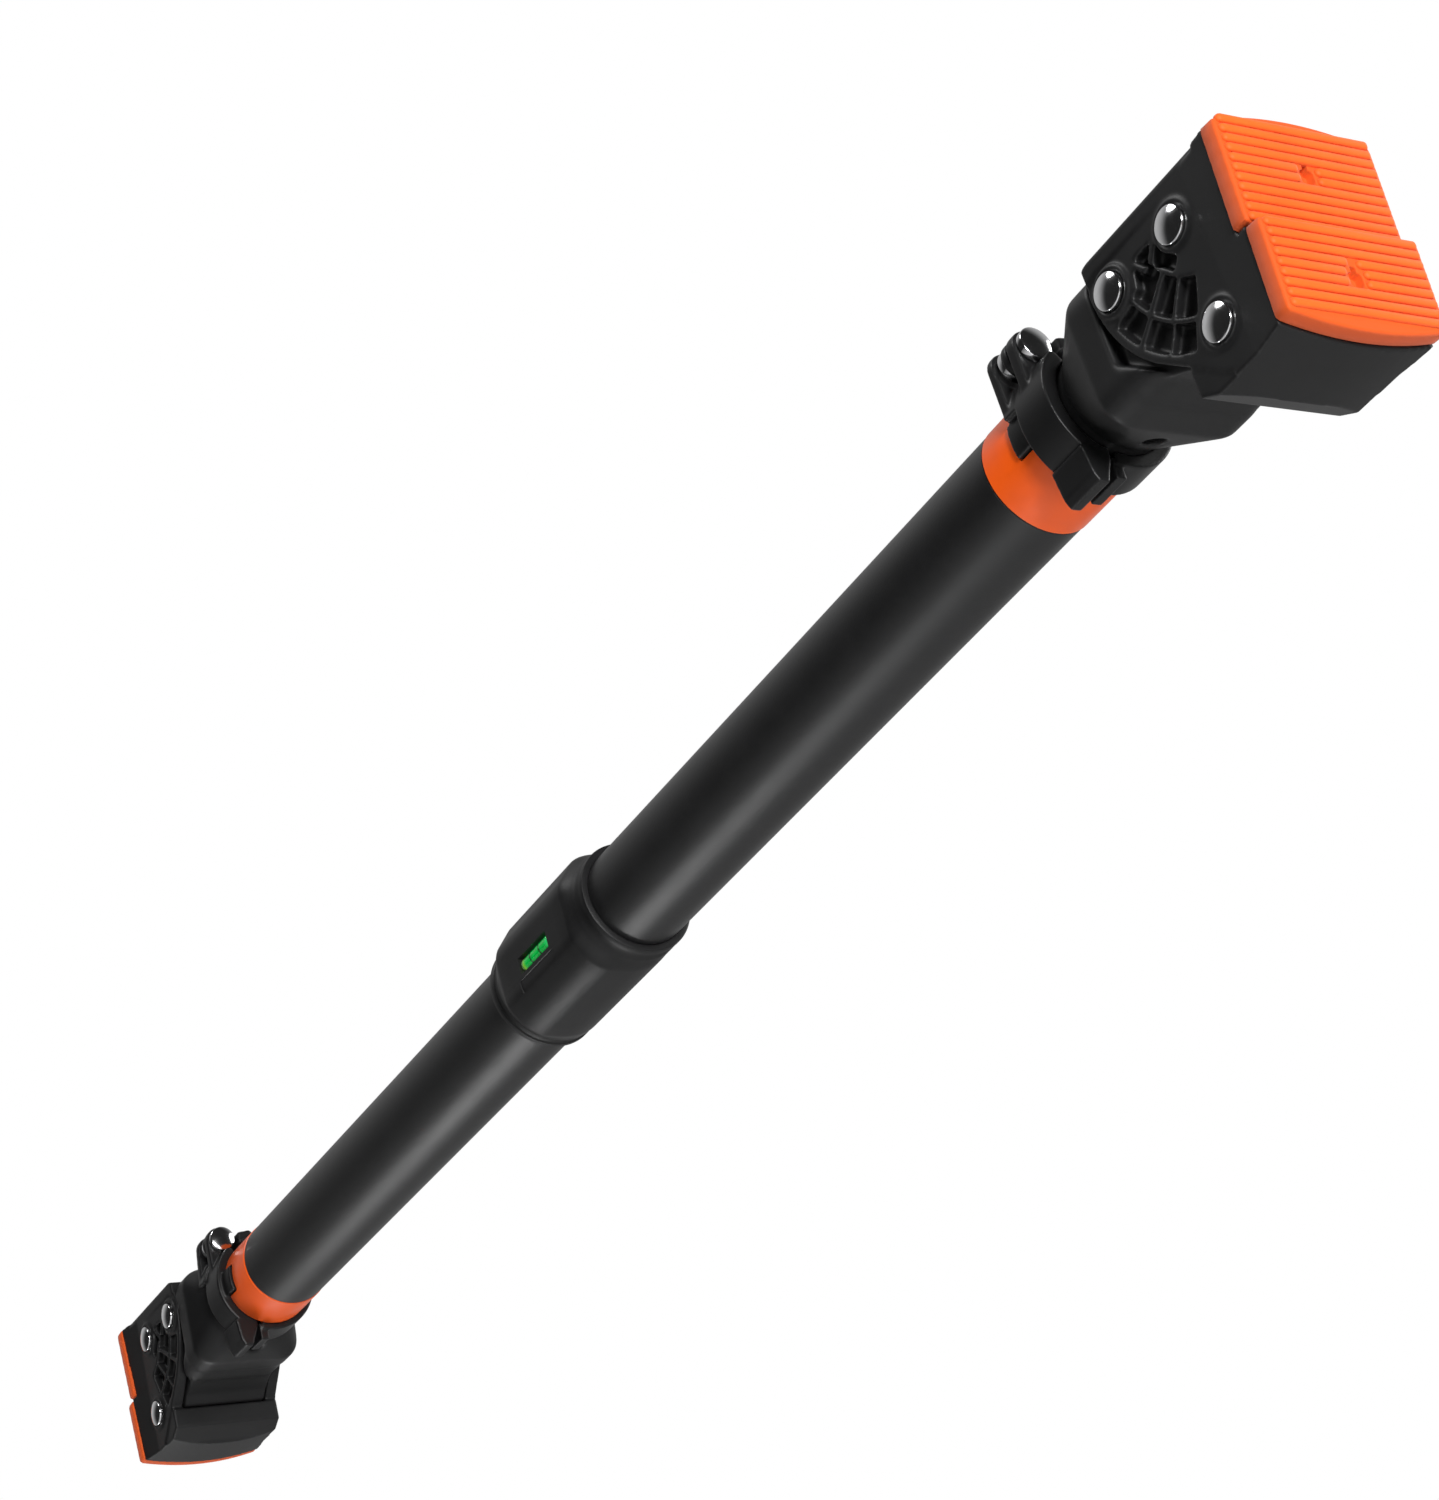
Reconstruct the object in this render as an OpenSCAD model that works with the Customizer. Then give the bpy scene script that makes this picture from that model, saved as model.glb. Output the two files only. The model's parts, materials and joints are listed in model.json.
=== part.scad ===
// Doorway pull up bar: a two-piece steel tube with a screw-out head at each end.
// Frame: origin at the middle of the bar on its axis, +X along the bar to the right head,
// -Y towards the person who hangs from it, +Z up. Millimetres.

/* [Bar] */
// Outside diameter of the bar tube
tube_d = 38; // [30:1:45]
// Wall of the bar tube
tube_wall = 1.5; // [1.2:0.1:2.5]
// Length of each of the two bar tubes
tube_len = 288.25; // [220:1:420]
// Gap left between the butted tube ends
butt_gap = 0.5; // [0.2:0.1:2]
// Length of the inner tube that joins them
joiner_len = 110; // [90:2:200]
// Wall of the joining tube
joiner_wall = 2; // [1.5:0.1:3]
// Radial clearance between the joining tube and the bar tube
joiner_gap = 0.1; // [0.05:0.05:0.3]
// Distance from the middle to the inner row of joining screws
screw_row_x = 14; // [12:1:16]
// Distance between the two rows of joining screws
screw_row_step = 14; // [11:1:16]
// Shank diameter of a joining screw
joint_screw_d = 5; // [4:0.5:6]

/* [Centre sleeve] */
// Length of the moulded sleeve over the joint
sleeve_len = 75; // [68:1:90]
// Wall of the sleeve's round ends
sleeve_wall = 2.4; // [2:0.1:4]
// Radial clearance between the sleeve and the tube
sleeve_gap = 0.1; // [0.05:0.05:0.3]
// Length of the raised box in the middle of the sleeve
sleeve_box_len = 58; // [50:1:64]
// How far the sleeve's flat front stands off the tube
front_stand = 4.3; // [3.6:0.1:6]
// Length of the level vial
vial_len = 21; // [16:0.2:26]
// Diameter of the level vial
vial_d = 5.4; // [4.6:0.1:6.4]
// Height of the vial's centre line
vial_z = -2.4; // [-5:0.2:3]
// Wall of the vial
vial_wall = 0.8; // [0.6:0.1:1.2]
// How far the vial lies below the sleeve's flat front
vial_sunk = 0.2; // [0.1:0.1:0.8]
// Clearance round the vial in its pocket
vial_gap = 0.25; // [0.1:0.05:0.5]

/* [End ring and screw] */
// Visible length of the coloured ring
ring_len = 22; // [19:0.5:30]
// Radial wall of the ring's skirt
ring_wall = 1.6; // [1.4:0.1:2.2]
// How far the ring stands proud of the tube
ring_proud = 0.2; // [0:0.1:0.6]
// Depth of each locking notch, measured from the ring's edge
notch_depth = 8; // [5:0.5:10]
// Width of each locking notch
notch_w = 12; // [9:0.5:14]
// Length of the ring's plug inside the tube
plug_len = 12; // [8:1:20]
// Diameter of the screw spindle
spindle_d = 22; // [18:1:24]
// Radial running clearance of the spindle in its nut
spindle_gap = 0.08; // [0.03:0.01:0.1]
// Length of the steel nut inside the tube
nut_len = 20; // [15:1:30]
// How far each head screws out
travel = 50; // [20:1:60]
// Length of spindle left inside the bar with the head screwed out
spindle_hold = 55; // [40:1:80]

/* [Lock collar] */
// Radial clearance between the neck's journal and the ring
ring_gap = 0.3; // [0.25:0.05:0.6]
// Radial clearance between the neck's journal and the gate
journal_gap = 0.4; // [0.3:0.05:0.8]
// Width of the collar along the bar
collar_w = 14; // [12:0.5:18]
// Wall of the hinged gate
gate_wall = 4.9; // [4.2:0.1:6]
// Wall of the fixed keeper
keeper_wall = 4.3; // [3.6:0.1:5.4]
// Distance of the hinge axis outside the gate's bore
hinge_out = 9.1; // [8.6:0.1:10.4]
// Angle of the hinge axis above the front of the collar, in degrees
hinge_rise = 57.2; // [54:0.2:60]
// Outside radius of a hinge ear
ear_r = 6.3; // [5.5:0.1:6.5]
// Diameter of the hinge pin
pin_d = 5; // [4:0.1:6]
// Running clearance of the pin in the gate's ear
pin_gap = 0.05; // [0.02:0.01:0.1]
// Diameter of the hinge pin's domed heads
pin_head_d = 11; // [9:0.2:12]
// Thickness of the gate's pinned ear
ear_w = 4; // [3:0.1:5]
// Clearance between the gate and the keeper
gate_gap = 0.4; // [0.3:0.05:0.8]
// How far the catch block drops below the gate
catch_drop = 5.4; // [4:0.2:7]
// Length of the neck's flare between the collar and the block
neck_len = 18.7; // [15:0.1:26]

/* [Head] */
// Half width of the head across its riveted sides
head_half_w = 25; // [24:0.5:28]
// Half width of the head at its pads
pad_half_w = 28; // [27:0.5:32]
// Height of the head's top edge above the bar axis
top_z = 19; // [18.5:0.5:23]
// Rise of the arched top and of the arched foot across the width
arch_rise = 3.5; // [2:0.5:5]
// Depth of the head's foot below the bar axis
foot_z = 45.4; // [44:0.2:52]
// Depth of the step between the two pads below the bar axis
step_z = 13; // [10:0.5:16]
// Length of the riveted shell, from its open edge to the upper pad
shell_len = 54.6; // [50:0.2:70]
// Height of the two upper rivets above the bar axis
rivet_z = 6.4; // [5:0.2:8]
// How far the lower pad steps out past the upper one
pad_step = 3.8; // [2:0.2:6]
// Inward lean of each pad towards its lower edge, in degrees
pad_tilt = 4.8; // [2:0.2:8]
// Thickness of a pad without its ribs
pad_t = 5; // [4:0.5:7]
// Height of a pad's ribs
rib_h = 1.5; // [0.8:0.1:2]
// Pitch of a pad's ribs
rib_pitch = 3; // [2.4:0.1:4]
// Smooth band at the lower edge of the lower pad
pad_band = 4.8; // [3:0.2:7]
// Thickness of the shell's side plates
plate_t = 5.5; // [5:0.1:7]
// Depth of the ribbed recess in each side plate
recess_t = 3.8; // [2.5:0.1:4.2]
// Clearance between the neck's tongue and the side plates
tongue_gap = 0.3; // [0.2:0.05:0.6]
// Shank diameter of the side rivets
rivet_d = 6; // [5:0.2:7]
// Head diameter of the side rivets
rivet_head_d = 11; // [9:0.2:12]
// Thickness of the steel core plate inside the neck
core_t = 5; // [4:0.5:8]
// Diameter of the cross pin that holds the spindle in the neck
cross_pin_d = 6; // [5:0.2:7]
// Shank diameter of a pad screw
pad_screw_d = 4; // [3:0.2:5]
// Head diameter of a pad screw
pad_screw_head_d = 7; // [6:0.2:8]

/* [Hidden] */
$fn = 64;
tube_r = tube_d / 2;
tube_in_r = tube_r - tube_wall;
root_x = butt_gap / 2 + tube_len;
joiner_r = tube_in_r - joiner_gap;
plug_r = tube_in_r - 0.05;
ring_r = tube_r + ring_proud;
ring_in_r = ring_r - ring_wall;
spindle_r = spindle_d / 2;
spindle_in = travel + spindle_hold;
journal_r = ring_in_r - ring_gap;
journal_x = 4;
seat_gap = 0.05;
shoulder_r = journal_r + 0.9;
sleeve_in_r = tube_r + sleeve_gap;
sleeve_r = sleeve_in_r + sleeve_wall;
front_y = tube_r + front_stand;
rib_foot = rib_pitch * 0.42;
rib_crest = rib_pitch * 0.2;
pocket_half = vial_len / 2 + vial_gap;
pocket_r = vial_d / 2 + vial_gap;
vial_y = -front_y + vial_d / 2 + vial_sunk;
backing_t = 0.6;
pocket_y = -sleeve_in_r - 0.4;
vial_back_y = pocket_y - backing_t - 0.05;
collar_x = ring_len + 0.3;
collar_end = collar_x + collar_w;
gate_in_r = journal_r + journal_gap;
gate_r = gate_in_r + gate_wall;
keeper_r = journal_r + keeper_wall;
hinge_y = (gate_in_r + hinge_out) * cos(hinge_rise);
hinge_z = (gate_in_r + hinge_out) * sin(hinge_rise);
keeper_end = 17;
catch_y = keeper_r * sin(keeper_end) + 0.9;
catch_z = gate_r + catch_drop;
tooth_gap = 0.6;
ear_x = collar_x + 3.4;
knuckle_w = 2.9;
knuckle_x = ear_x - knuckle_w - 0.3;
guard_w = 3.4;
guard_x = collar_x - 6.5;
pin_head_t = 3.2;
over_ring_r = ring_r + 0.5;
over_neck_r = shoulder_r + 3.1;
bore_slack = 0.05;
neck_flare_x = collar_end + 3;
cross_x = neck_flare_x + 7;
neck_block_x = collar_end + neck_len;
neck_bottom = 23.8;
roof_x = neck_block_x + 11;
neck_block_end = roof_x + 11;
pad_x = roof_x + shell_len;
rivet_head_t = 2.6;
wall_t = 6;
roof_t = 4;
lip_t = 4.5;
lower_x = pad_x - (foot_z - step_z) * tan(pad_tilt) + pad_step;
// The step's flat ledge lies this far above the leaning end of the pad over it
pad_lift = pad_step * tan(pad_tilt) + 0.05;
foot_x = pad_x - 32.6;
foot_end = pad_x - 17;
lip_z = foot_z - 14.4;
floor_z = foot_z - 10.4;
part_gap = 0.3;
tongue_end = pad_x - wall_t - 2.6;
tongue_half = head_half_w - plate_t - tongue_gap;
tongue_top = top_z - roof_t - 1.5;
core_top = tongue_top - 4;
core_bottom = floor_z - 1.5;
rivet_spots = [[roof_x + 7.5, rivet_z], [pad_x - 19.4, rivet_z], [foot_end, -floor_z + 7.8]];
boss_radii = [8.6, 7.4, 6.6];
fan_x = tongue_end;
fan_z = 12;
fan_r = fan_x - roof_x - 0.7;

// Points of an arc about [cx, cy], from angle a to angle b, in n steps
function arc(cx, cy, r, a, b, n) = [for (i = [0:n]) [cx + r * cos(a + (b - a) * i / n),
    cy + r * sin(a + (b - a) * i / n)]];
// Height gained over a pad, measured along its leaning face
function lean(h) = h / cos(pad_tilt);

// Turn children drawn in the right head's own frame, x from the tube end, to either side
module right_side() translate([root_x, 0, 0]) children();
module left_side() mirror([1, 0, 0]) right_side() children();

// A solid of revolution along x, from x0 to x1
module bar_disc(x0, x1, r) translate([x0, 0, 0]) rotate([0, 90, 0]) cylinder(r = r, h = x1 - x0);

// An outline in the y-z plane, carried along x from x0 to x1
module along_x(x0, x1) translate([x0, 0, 0]) rotate([90, 0, 90]) linear_extrude(x1 - x0) children();

// An outline in the x-z plane, carried along y from y0 to y1
module along_y(y0, y1) translate([0, y1, 0]) rotate([90, 0, 0]) linear_extrude(y1 - y0) children();

// A ring sector in the y-z plane, used inside hulls
module sector(r_in, r_out, a, b) polygon(concat(arc(0, 0, r_out, a, b, 8), arc(0, 0, r_in, b, a, 8)));

// Part of a round collar along the bar, from angle a to angle b about the bar's axis
module collar_part(x0, x1, r_in, r_out, a, b) intersection() {
    difference() {
        bar_disc(x0, x1, r_out);
        bar_disc(x0 - 1, x1 + 1, r_in);
    }
    along_x(x0 - 1, x1 + 1) polygon(concat([[0, 0]], arc(0, 0, 3 * tube_r, a, b, 6)));
}

/* Bar */

module tube_half() difference() {
    bar_disc(butt_gap / 2, root_x, tube_r);
    bar_disc(butt_gap / 2 - 1, root_x + 1, tube_in_r);
    joint_holes();
}

module joint_holes() for (x = [screw_row_x, screw_row_x + screw_row_step])
    translate([x, 0, -tube_r - 1]) cylinder(d = joint_screw_d + 2 * bore_slack, h = 12);

module joiner() difference() {
    bar_disc(-joiner_len / 2, joiner_len / 2, joiner_r);
    bar_disc(-joiner_len / 2 - 1, joiner_len / 2 + 1, joiner_r - joiner_wall);
    joint_holes();
    mirror([1, 0, 0]) joint_holes();
}

module joint_screws() for (side = [0, 1]) mirror([side, 0, 0])
    for (x = [screw_row_x, screw_row_x + screw_row_step]) {
        // The shank starts inside the head, so that a screw is one solid
        translate([x, 0, -tube_r - 0.5]) cylinder(d = joint_screw_d, h = 7.7);
        difference() {
            translate([x, 0, -tube_r - 1.2]) cylinder(d = joint_screw_d + 3.4, h = 2);
            bar_disc(x - 9, x + 9, tube_r);
        }
    }

// Sleeve section: round below and behind, flat in front with a chamfer above and below it
module sleeve_outline() polygon([[-front_y, -11], [-front_y, 8], [-front_y + 1.2, 11.5],
    [-14, sleeve_r - 0.3], [-9, sleeve_r + 1.5], [2, sleeve_r + 1.1], [10, sleeve_r - 2.1],
    [sleeve_r - 4.5, 12], [sleeve_r, 0], [sleeve_r - 4.5, -12], [10, -sleeve_r + 1],
    [0, -sleeve_r - 1.7], [-13, -sleeve_r - 0.9], [-sleeve_r + 3, -sleeve_r + 3]]);

module sleeve() difference() {
    union() {
        bar_disc(-sleeve_len / 2, sleeve_len / 2, sleeve_r);
        along_x(-sleeve_box_len / 2, sleeve_box_len / 2) sleeve_outline();
    }
    bar_disc(-sleeve_len, sleeve_len, sleeve_in_r);
    // Channel for the heads of the joining screws
    translate([-sleeve_len / 2 + 4, -5, -tube_r - 2]) cube([sleeve_len - 8, 10, 6]);
    // Pocket for the vial and the shallow plate recess beside it
    translate([-pocket_half, -front_y - 1, vial_z - pocket_r])
        cube([2 * pocket_half, front_y + 1 + pocket_y, 2 * pocket_r]);
    translate([-11, -front_y - 1, -11]) cube([22, 1.4, 4]);
}

// A flat-backed rod along x, round in front
module vial_rod(half_len, r, back_y) intersection() {
    translate([-half_len, vial_y, vial_z]) rotate([0, 90, 0]) cylinder(r = r, h = 2 * half_len);
    translate([-half_len, back_y - 2 * r, vial_z - r]) cube([2 * half_len, 2 * r, 2 * r]);
}

module vial() difference() {
    vial_rod(vial_len / 2, vial_d / 2, vial_back_y);
    vial_rod(vial_len / 2 - vial_wall, vial_d / 2 - vial_wall, vial_back_y - vial_wall);
}

module vial_liquid() difference() {
    vial_rod(vial_len / 2 - vial_wall, vial_d / 2 - vial_wall - 0.02, vial_back_y - vial_wall - 0.02);
    // The bubble rests at the top of the vial
    translate([0, vial_back_y - vial_wall - 0.4, vial_z + vial_d / 2 - vial_wall - 1]) sphere(d = 2.4);
}

module vial_backing() translate([-pocket_half + 0.2, pocket_y - backing_t, vial_z - pocket_r + 0.2])
    cube([2 * pocket_half - 0.4, backing_t, 2 * pocket_r - 0.4]);

/* End ring, nut and spindle: x is measured from the tube end */

module end_ring() difference() {
    union() {
        bar_disc(0, ring_len, ring_r);
        bar_disc(-plug_len, 0.5, plug_r);
    }
    bar_disc(journal_x - 1, ring_len + 1, ring_in_r);
    bar_disc(-plug_len - 1, ring_len, spindle_r + 1);
    for (side = [-1, 1]) translate([ring_len - notch_depth, side * tube_r, 0])
        translate([0, -tube_r / 2, -notch_w / 2]) cube([notch_depth + 1, tube_r, notch_w]);
}

module tube_nut() difference() {
    bar_disc(-plug_len - nut_len, -plug_len, plug_r);
    bar_disc(-plug_len - nut_len - 1, 0, spindle_r + spindle_gap);
}

module spindle() difference() {
    bar_disc(-spindle_in, neck_block_x, spindle_r);
    translate([cross_x, 0, -spindle_r - 1])
        cylinder(d = cross_pin_d + 2 * bore_slack, h = 2 * spindle_r + 2);
}

module cross_pin() translate([cross_x, 0, -journal_r + 1])
    cylinder(d = cross_pin_d, h = 2 * journal_r - 2);

/* Neck: journal, flare, block and the tongue inside the shell */

module neck_section(half_w, up, down, round_r) hull() for (y = [-1, 1]) {
    translate([y * (half_w - round_r), up - round_r]) circle(r = round_r, $fn = 24);
    translate([y * (half_w - round_r), -down + round_r]) circle(r = round_r, $fn = 24);
}

// Side outline of the tongue: it drops behind the foot's lip to take the lowest rivet
module tongue_outline() polygon([[neck_block_end - 2, tongue_top], [neck_block_end - 2, -neck_bottom + 1],
    [foot_x - 4, -lip_z + 4], [foot_x, -lip_z + part_gap], [foot_x + lip_t + part_gap, -lip_z + part_gap],
    [foot_x + lip_t + part_gap, -floor_z + part_gap], [tongue_end, -floor_z + part_gap],
    [tongue_end, tongue_top]]);

module block_section(inset) neck_section(head_half_w - 0.6 - inset, top_z + 1 - inset,
    neck_bottom - inset, 9 - inset);

module neck() difference() {
    union() {
        bar_disc(journal_x, neck_flare_x + 2, journal_r);
        hull() {
            bar_disc(neck_flare_x, neck_flare_x + 0.5, shoulder_r, $fn = 32);
            along_x(neck_block_x, roof_x - 1) block_section(0);
        }
        // Behind the shell's edge the block narrows to the tongue, with full-width lower flanks
        intersection() {
            along_x(roof_x - 3, neck_block_end) block_section(0.3);
            union() {
                along_y(-tongue_half, tongue_half) translate([0, -60]) square([200, 60 + tongue_top]);
                along_y(-head_half_w, head_half_w) polygon([[roof_x - 6, -8],
                    [roof_x - 6, -2 * neck_bottom], [roof_x + 24, -2 * neck_bottom],
                    [neck_block_end, -neck_bottom + 1.8], [roof_x, -12]]);
            }
        }
        along_y(-tongue_half + 0.02, tongue_half - 0.02) tongue_outline();
    }
    bar_disc(journal_x - 1, neck_block_x, spindle_r + bore_slack);
    translate([cross_x, 0, -neck_bottom - 1])
        cylinder(d = cross_pin_d + 2 * bore_slack, h = neck_bottom + journal_r);
    along_y(-core_t / 2 - bore_slack, core_t / 2 + bore_slack) core_outline(bore_slack);
    rivet_holes(tongue_half + 1);
}

module rivet_holes(reach) for (spot = rivet_spots) translate([spot[0], reach, spot[1]]) rotate([90, 0, 0])
    cylinder(d = rivet_d + 2 * bore_slack, h = 2 * reach);

// Side outline of the core plate, or of its slot when grown: it drops behind the foot's lip
module core_outline(grow) polygon([[neck_block_x + 4.5 - grow, core_top + grow],
    [neck_block_x + 4.5 - grow, -16 - grow], [neck_block_end + 4 - grow, -16 - grow],
    [neck_block_end + 6, -22 - grow], [foot_x + lip_t + 1.6 - grow, -lip_z + 4 - grow],
    [foot_x + lip_t + 1.6 - grow, -core_bottom - grow], [tongue_end - 0.5 + grow, -core_bottom - grow],
    [tongue_end - 0.5 + grow, core_top + grow]]);

module core_plate() difference() {
    along_y(-core_t / 2, core_t / 2) core_outline(0);
    rivet_holes(core_t);
}

/* Shell: side plates with fan-shaped recesses, roof, end wall and foot */

// Outline of a side plate: the outer arc runs from the first rivet's boss down to the third's
module plate_outline() polygon(concat([[pad_x + 1, top_z - 1], [roof_x + 4, top_z - 1],
    [roof_x - 0.5, top_z - 5]], arc(fan_x, fan_z, fan_r + 1.8, 182, 224, 12),
    [[foot_end - 4.1, -foot_z + 5.9], [foot_end - 1.6, -foot_z + 4.4], [foot_end, -foot_z - 5],
    [lower_x - 0.1, -foot_z - 5], [lower_x - 0.1, -foot_z], [pad_x + pad_step - 0.6, -step_z],
    [pad_x - 0.1, -step_z]]));

// Plan outline of the shell: the sides spread slightly towards the pads
plan_side = [[roof_x - 6, head_half_w - 0.8], [rivet_spots[1][0], head_half_w],
    [foot_end + 6, head_half_w], [pad_x + 2 * pad_step, pad_half_w]];
module plan_outline() for (side = [0, 1]) mirror([0, side])
    polygon(concat([[pad_x + 2 * pad_step, -1], [roof_x - 6, -1]], plan_side));

// One cell of the recess, between two radii and two angles about the fan's centre
module fan_cell(r0, r1, a0, a1) polygon(concat(arc(0, 0, r1, a0, a1, 6), arc(0, 0, r0, a1, a0, 6)));

module fan_cells() translate([fan_x, fan_z]) {
    for (a = [200, 216.5, 231.5]) {
        fan_cell(fan_r - 8.8, fan_r - 1, a, a + (a > 230 ? 13 : 14));
        fan_cell(24.5, fan_r - 10.3, a, a + (a > 230 ? 14.5 : 13));
    }
    fan_cell(19, 23, 207, 226);
    polygon([[-28, -3.5], [-20, -3.5], [-24, -8.8]]);
    polygon([[-29, -5.5], [-25.6, -10], [-27.8, -12.5], [-30.5, -11.5]]);
    polygon([[-18.6, -5.2], [-22.2, -10], [-20, -12.4], [-16.2, -11.6]]);
}

module side_recess() difference() {
    fan_cells();
    for (i = [0:2]) translate(rivet_spots[i]) circle(r = boss_radii[i]);
}

// The slab behind the pads, with the two leaning seats
module end_wall() intersection() {
    union() {
        pad_seat(-foot_z, lower_x, foot_z - step_z, true);
        pad_seat(-step_z, pad_x, top_z + step_z, false);
    }
    translate([0, 0, -2 * foot_z]) linear_extrude(4 * foot_z) plan_outline();
}

// Arched block behind one pad; its outer face is the seat
module pad_seat(z0, x0, h, foot) intersection() {
    translate([x0, 0, z0]) rotate([0, pad_tilt, 0]) translate([-wall_t, -pad_half_w, -0.1])
        cube([wall_t, 2 * pad_half_w, lean(h) + arch_rise]);
    arch_limit();
    translate([0, -pad_half_w, foot ? -2 * foot_z : -step_z - 0.05])
        cube([2 * pad_x, 2 * pad_half_w, foot ? 2 * foot_z - step_z : 2 * top_z + step_z]);
}

// Common arched outline of everything in the head: bowed top and bowed foot
function bow_r(rise) = (pad_half_w * pad_half_w + rise * rise) / (2 * rise);
module arch_limit() intersection() {
    translate([0, 0, top_z + arch_rise - bow_r(arch_rise)]) bar_disc(0, 2 * pad_x, bow_r(arch_rise));
    translate([0, 0, -foot_z + bow_r(arch_rise)]) bar_disc(0, 2 * pad_x, bow_r(arch_rise));
}

module shell() difference() {
    union() {
        difference() {
            intersection() {
                along_y(-pad_half_w, pad_half_w) plate_outline();
                translate([0, 0, -2 * foot_z]) linear_extrude(4 * foot_z) plan_outline();
                arch_limit();
            }
            translate([0, -head_half_w + plate_t, -2 * foot_z])
                cube([pad_x - wall_t, 2 * (head_half_w - plate_t), 4 * foot_z]);
        }
        end_wall();
        // Roof between the plates, arched across
        intersection() {
            along_y(-head_half_w, head_half_w) polygon([[roof_x, top_z - 5], [roof_x + 5, top_z - roof_t],
                [pad_x, top_z - roof_t], [pad_x, top_z + 2 * roof_t], [roof_x + 22, top_z + 2 * roof_t],
                [roof_x, top_z]]);
            arch_limit();
        }
        // Foot: a slab under the tongue with a slanted inner face
        intersection() {
            along_y(-head_half_w + 0.5, head_half_w - 0.5) polygon([[pad_x - 2, -foot_z - 5],
                [foot_end - 2.6, -foot_z - 5], [foot_end - 6.6, -foot_z + 1], [foot_x, -foot_z + 5.9],
                [foot_x, -lip_z], [foot_x + lip_t, -lip_z], [foot_x + lip_t, -floor_z],
                [pad_x - 2, -floor_z]]);
            arch_limit();
        }
    }
    for (side = [-1, 1]) translate([0, side * (head_half_w - recess_t / 2 + 0.5), 0])
        along_y(-recess_t / 2 - 0.5, recess_t / 2 + 0.5) side_recess();
    rivet_holes(head_half_w + 1);
    pad_screw_bores(pad_screw_d / 2 + bore_slack, -wall_t - 2);
}

module rivets() for (spot = rivet_spots) translate([spot[0], 0, spot[1]]) {
    rotate([90, 0, 0]) cylinder(d = rivet_d, h = 2 * head_half_w, center = true);
    for (side = [-1, 1]) translate([0, side * head_half_w, 0]) rotate([-side * 90, 0, 0])
        domed_head(rivet_head_d, rivet_head_t);
}

// A domed head of diameter d and height h, with a short straight rim
module domed_head(d, h) {
    rim = 0.6;
    rise = h - rim;
    dome_r = (d * d / 4 + rise * rise) / (2 * rise);
    cylinder(d = d, h = rim);
    intersection() {
        translate([0, 0, h - dome_r]) sphere(r = dome_r);
        cylinder(d = d, h = h + 1);
    }
}

/* Pads: drawn in their own leaning frames */

module lower_frame() translate([lower_x, 0, -foot_z]) rotate([0, pad_tilt, 0]) children();
module upper_frame() translate([pad_x, 0, -step_z]) rotate([0, pad_tilt, 0]) children();

// Ribs along y, each with a flat crest and sloping flanks
module ribs(first, count) for (i = [0:count - 1]) translate([0, 0, first + i * rib_pitch])
    along_y(-pad_half_w + 2, pad_half_w - 2) polygon([[pad_t - 0.5, -rib_foot], [pad_t, -rib_foot],
        [pad_t + rib_h, -rib_crest], [pad_t + rib_h, rib_crest], [pad_t, rib_foot],
        [pad_t - 0.5, rib_foot]]);

function lower_len() = lean(foot_z - step_z) - pad_lift - 0.15;
function upper_len() = lean(top_z + step_z) - 0.2;
function lower_ribs() = floor((lower_len() - pad_band) / rib_pitch);
function upper_ribs() = floor((upper_len() - 1) / rib_pitch);
function lower_first() = lower_len() - (lower_ribs() - 0.5) * rib_pitch;
function upper_first() = rib_pitch / 2;

module lower_pad() difference() {
    intersection() {
        lower_frame() union() {
            translate([0.05, -pad_half_w, 0]) cube([pad_t, 2 * pad_half_w, lower_len()]);
            ribs(lower_first(), lower_ribs());
        }
        arch_limit();
    }
    pad_screw_bores(pad_screw_head_d / 2 + 0.4, 2.5);
    pad_screw_bores(pad_screw_d / 2 + bore_slack, -1);
}

module upper_pad() difference() {
    intersection() {
        upper_frame() union() {
            translate([0.05, -pad_half_w, pad_lift])
                cube([pad_t, 2 * pad_half_w, upper_len() + arch_rise - pad_lift]);
            ribs(upper_first(), upper_ribs() + 1);
        }
        arch_limit();
    }
    pad_screw_bores(pad_screw_head_d / 2 + 0.4, 2.5);
    pad_screw_bores(pad_screw_d / 2 + bore_slack, -1);
}

// One screw through the middle of each pad
module pad_screw_bores(r, from) {
    lower_frame() translate([from, 0, lower_len() / 2]) rotate([0, 90, 0]) cylinder(r = r, h = 20);
    upper_frame() translate([from, 0, upper_len() / 2]) rotate([0, 90, 0]) cylinder(r = r, h = 20);
}

module pad_screw() {
    translate([-wall_t + 0.5, 0, 0]) rotate([0, 90, 0]) cylinder(d = pad_screw_d, h = wall_t + 2.5);
    translate([2.55, 0, 0]) rotate([0, 90, 0]) cylinder(d = pad_screw_head_d, h = 1.6);
}

module pad_screws() {
    lower_frame() translate([0, 0, lower_len() / 2]) pad_screw();
    upper_frame() translate([0, 0, upper_len() / 2]) pad_screw();
}

/* Lock collar: a keeper fixed round the back of the neck and a hinged gate with the locking tooth */

module hinge_spot() translate([-hinge_y, hinge_z]) children();

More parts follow.
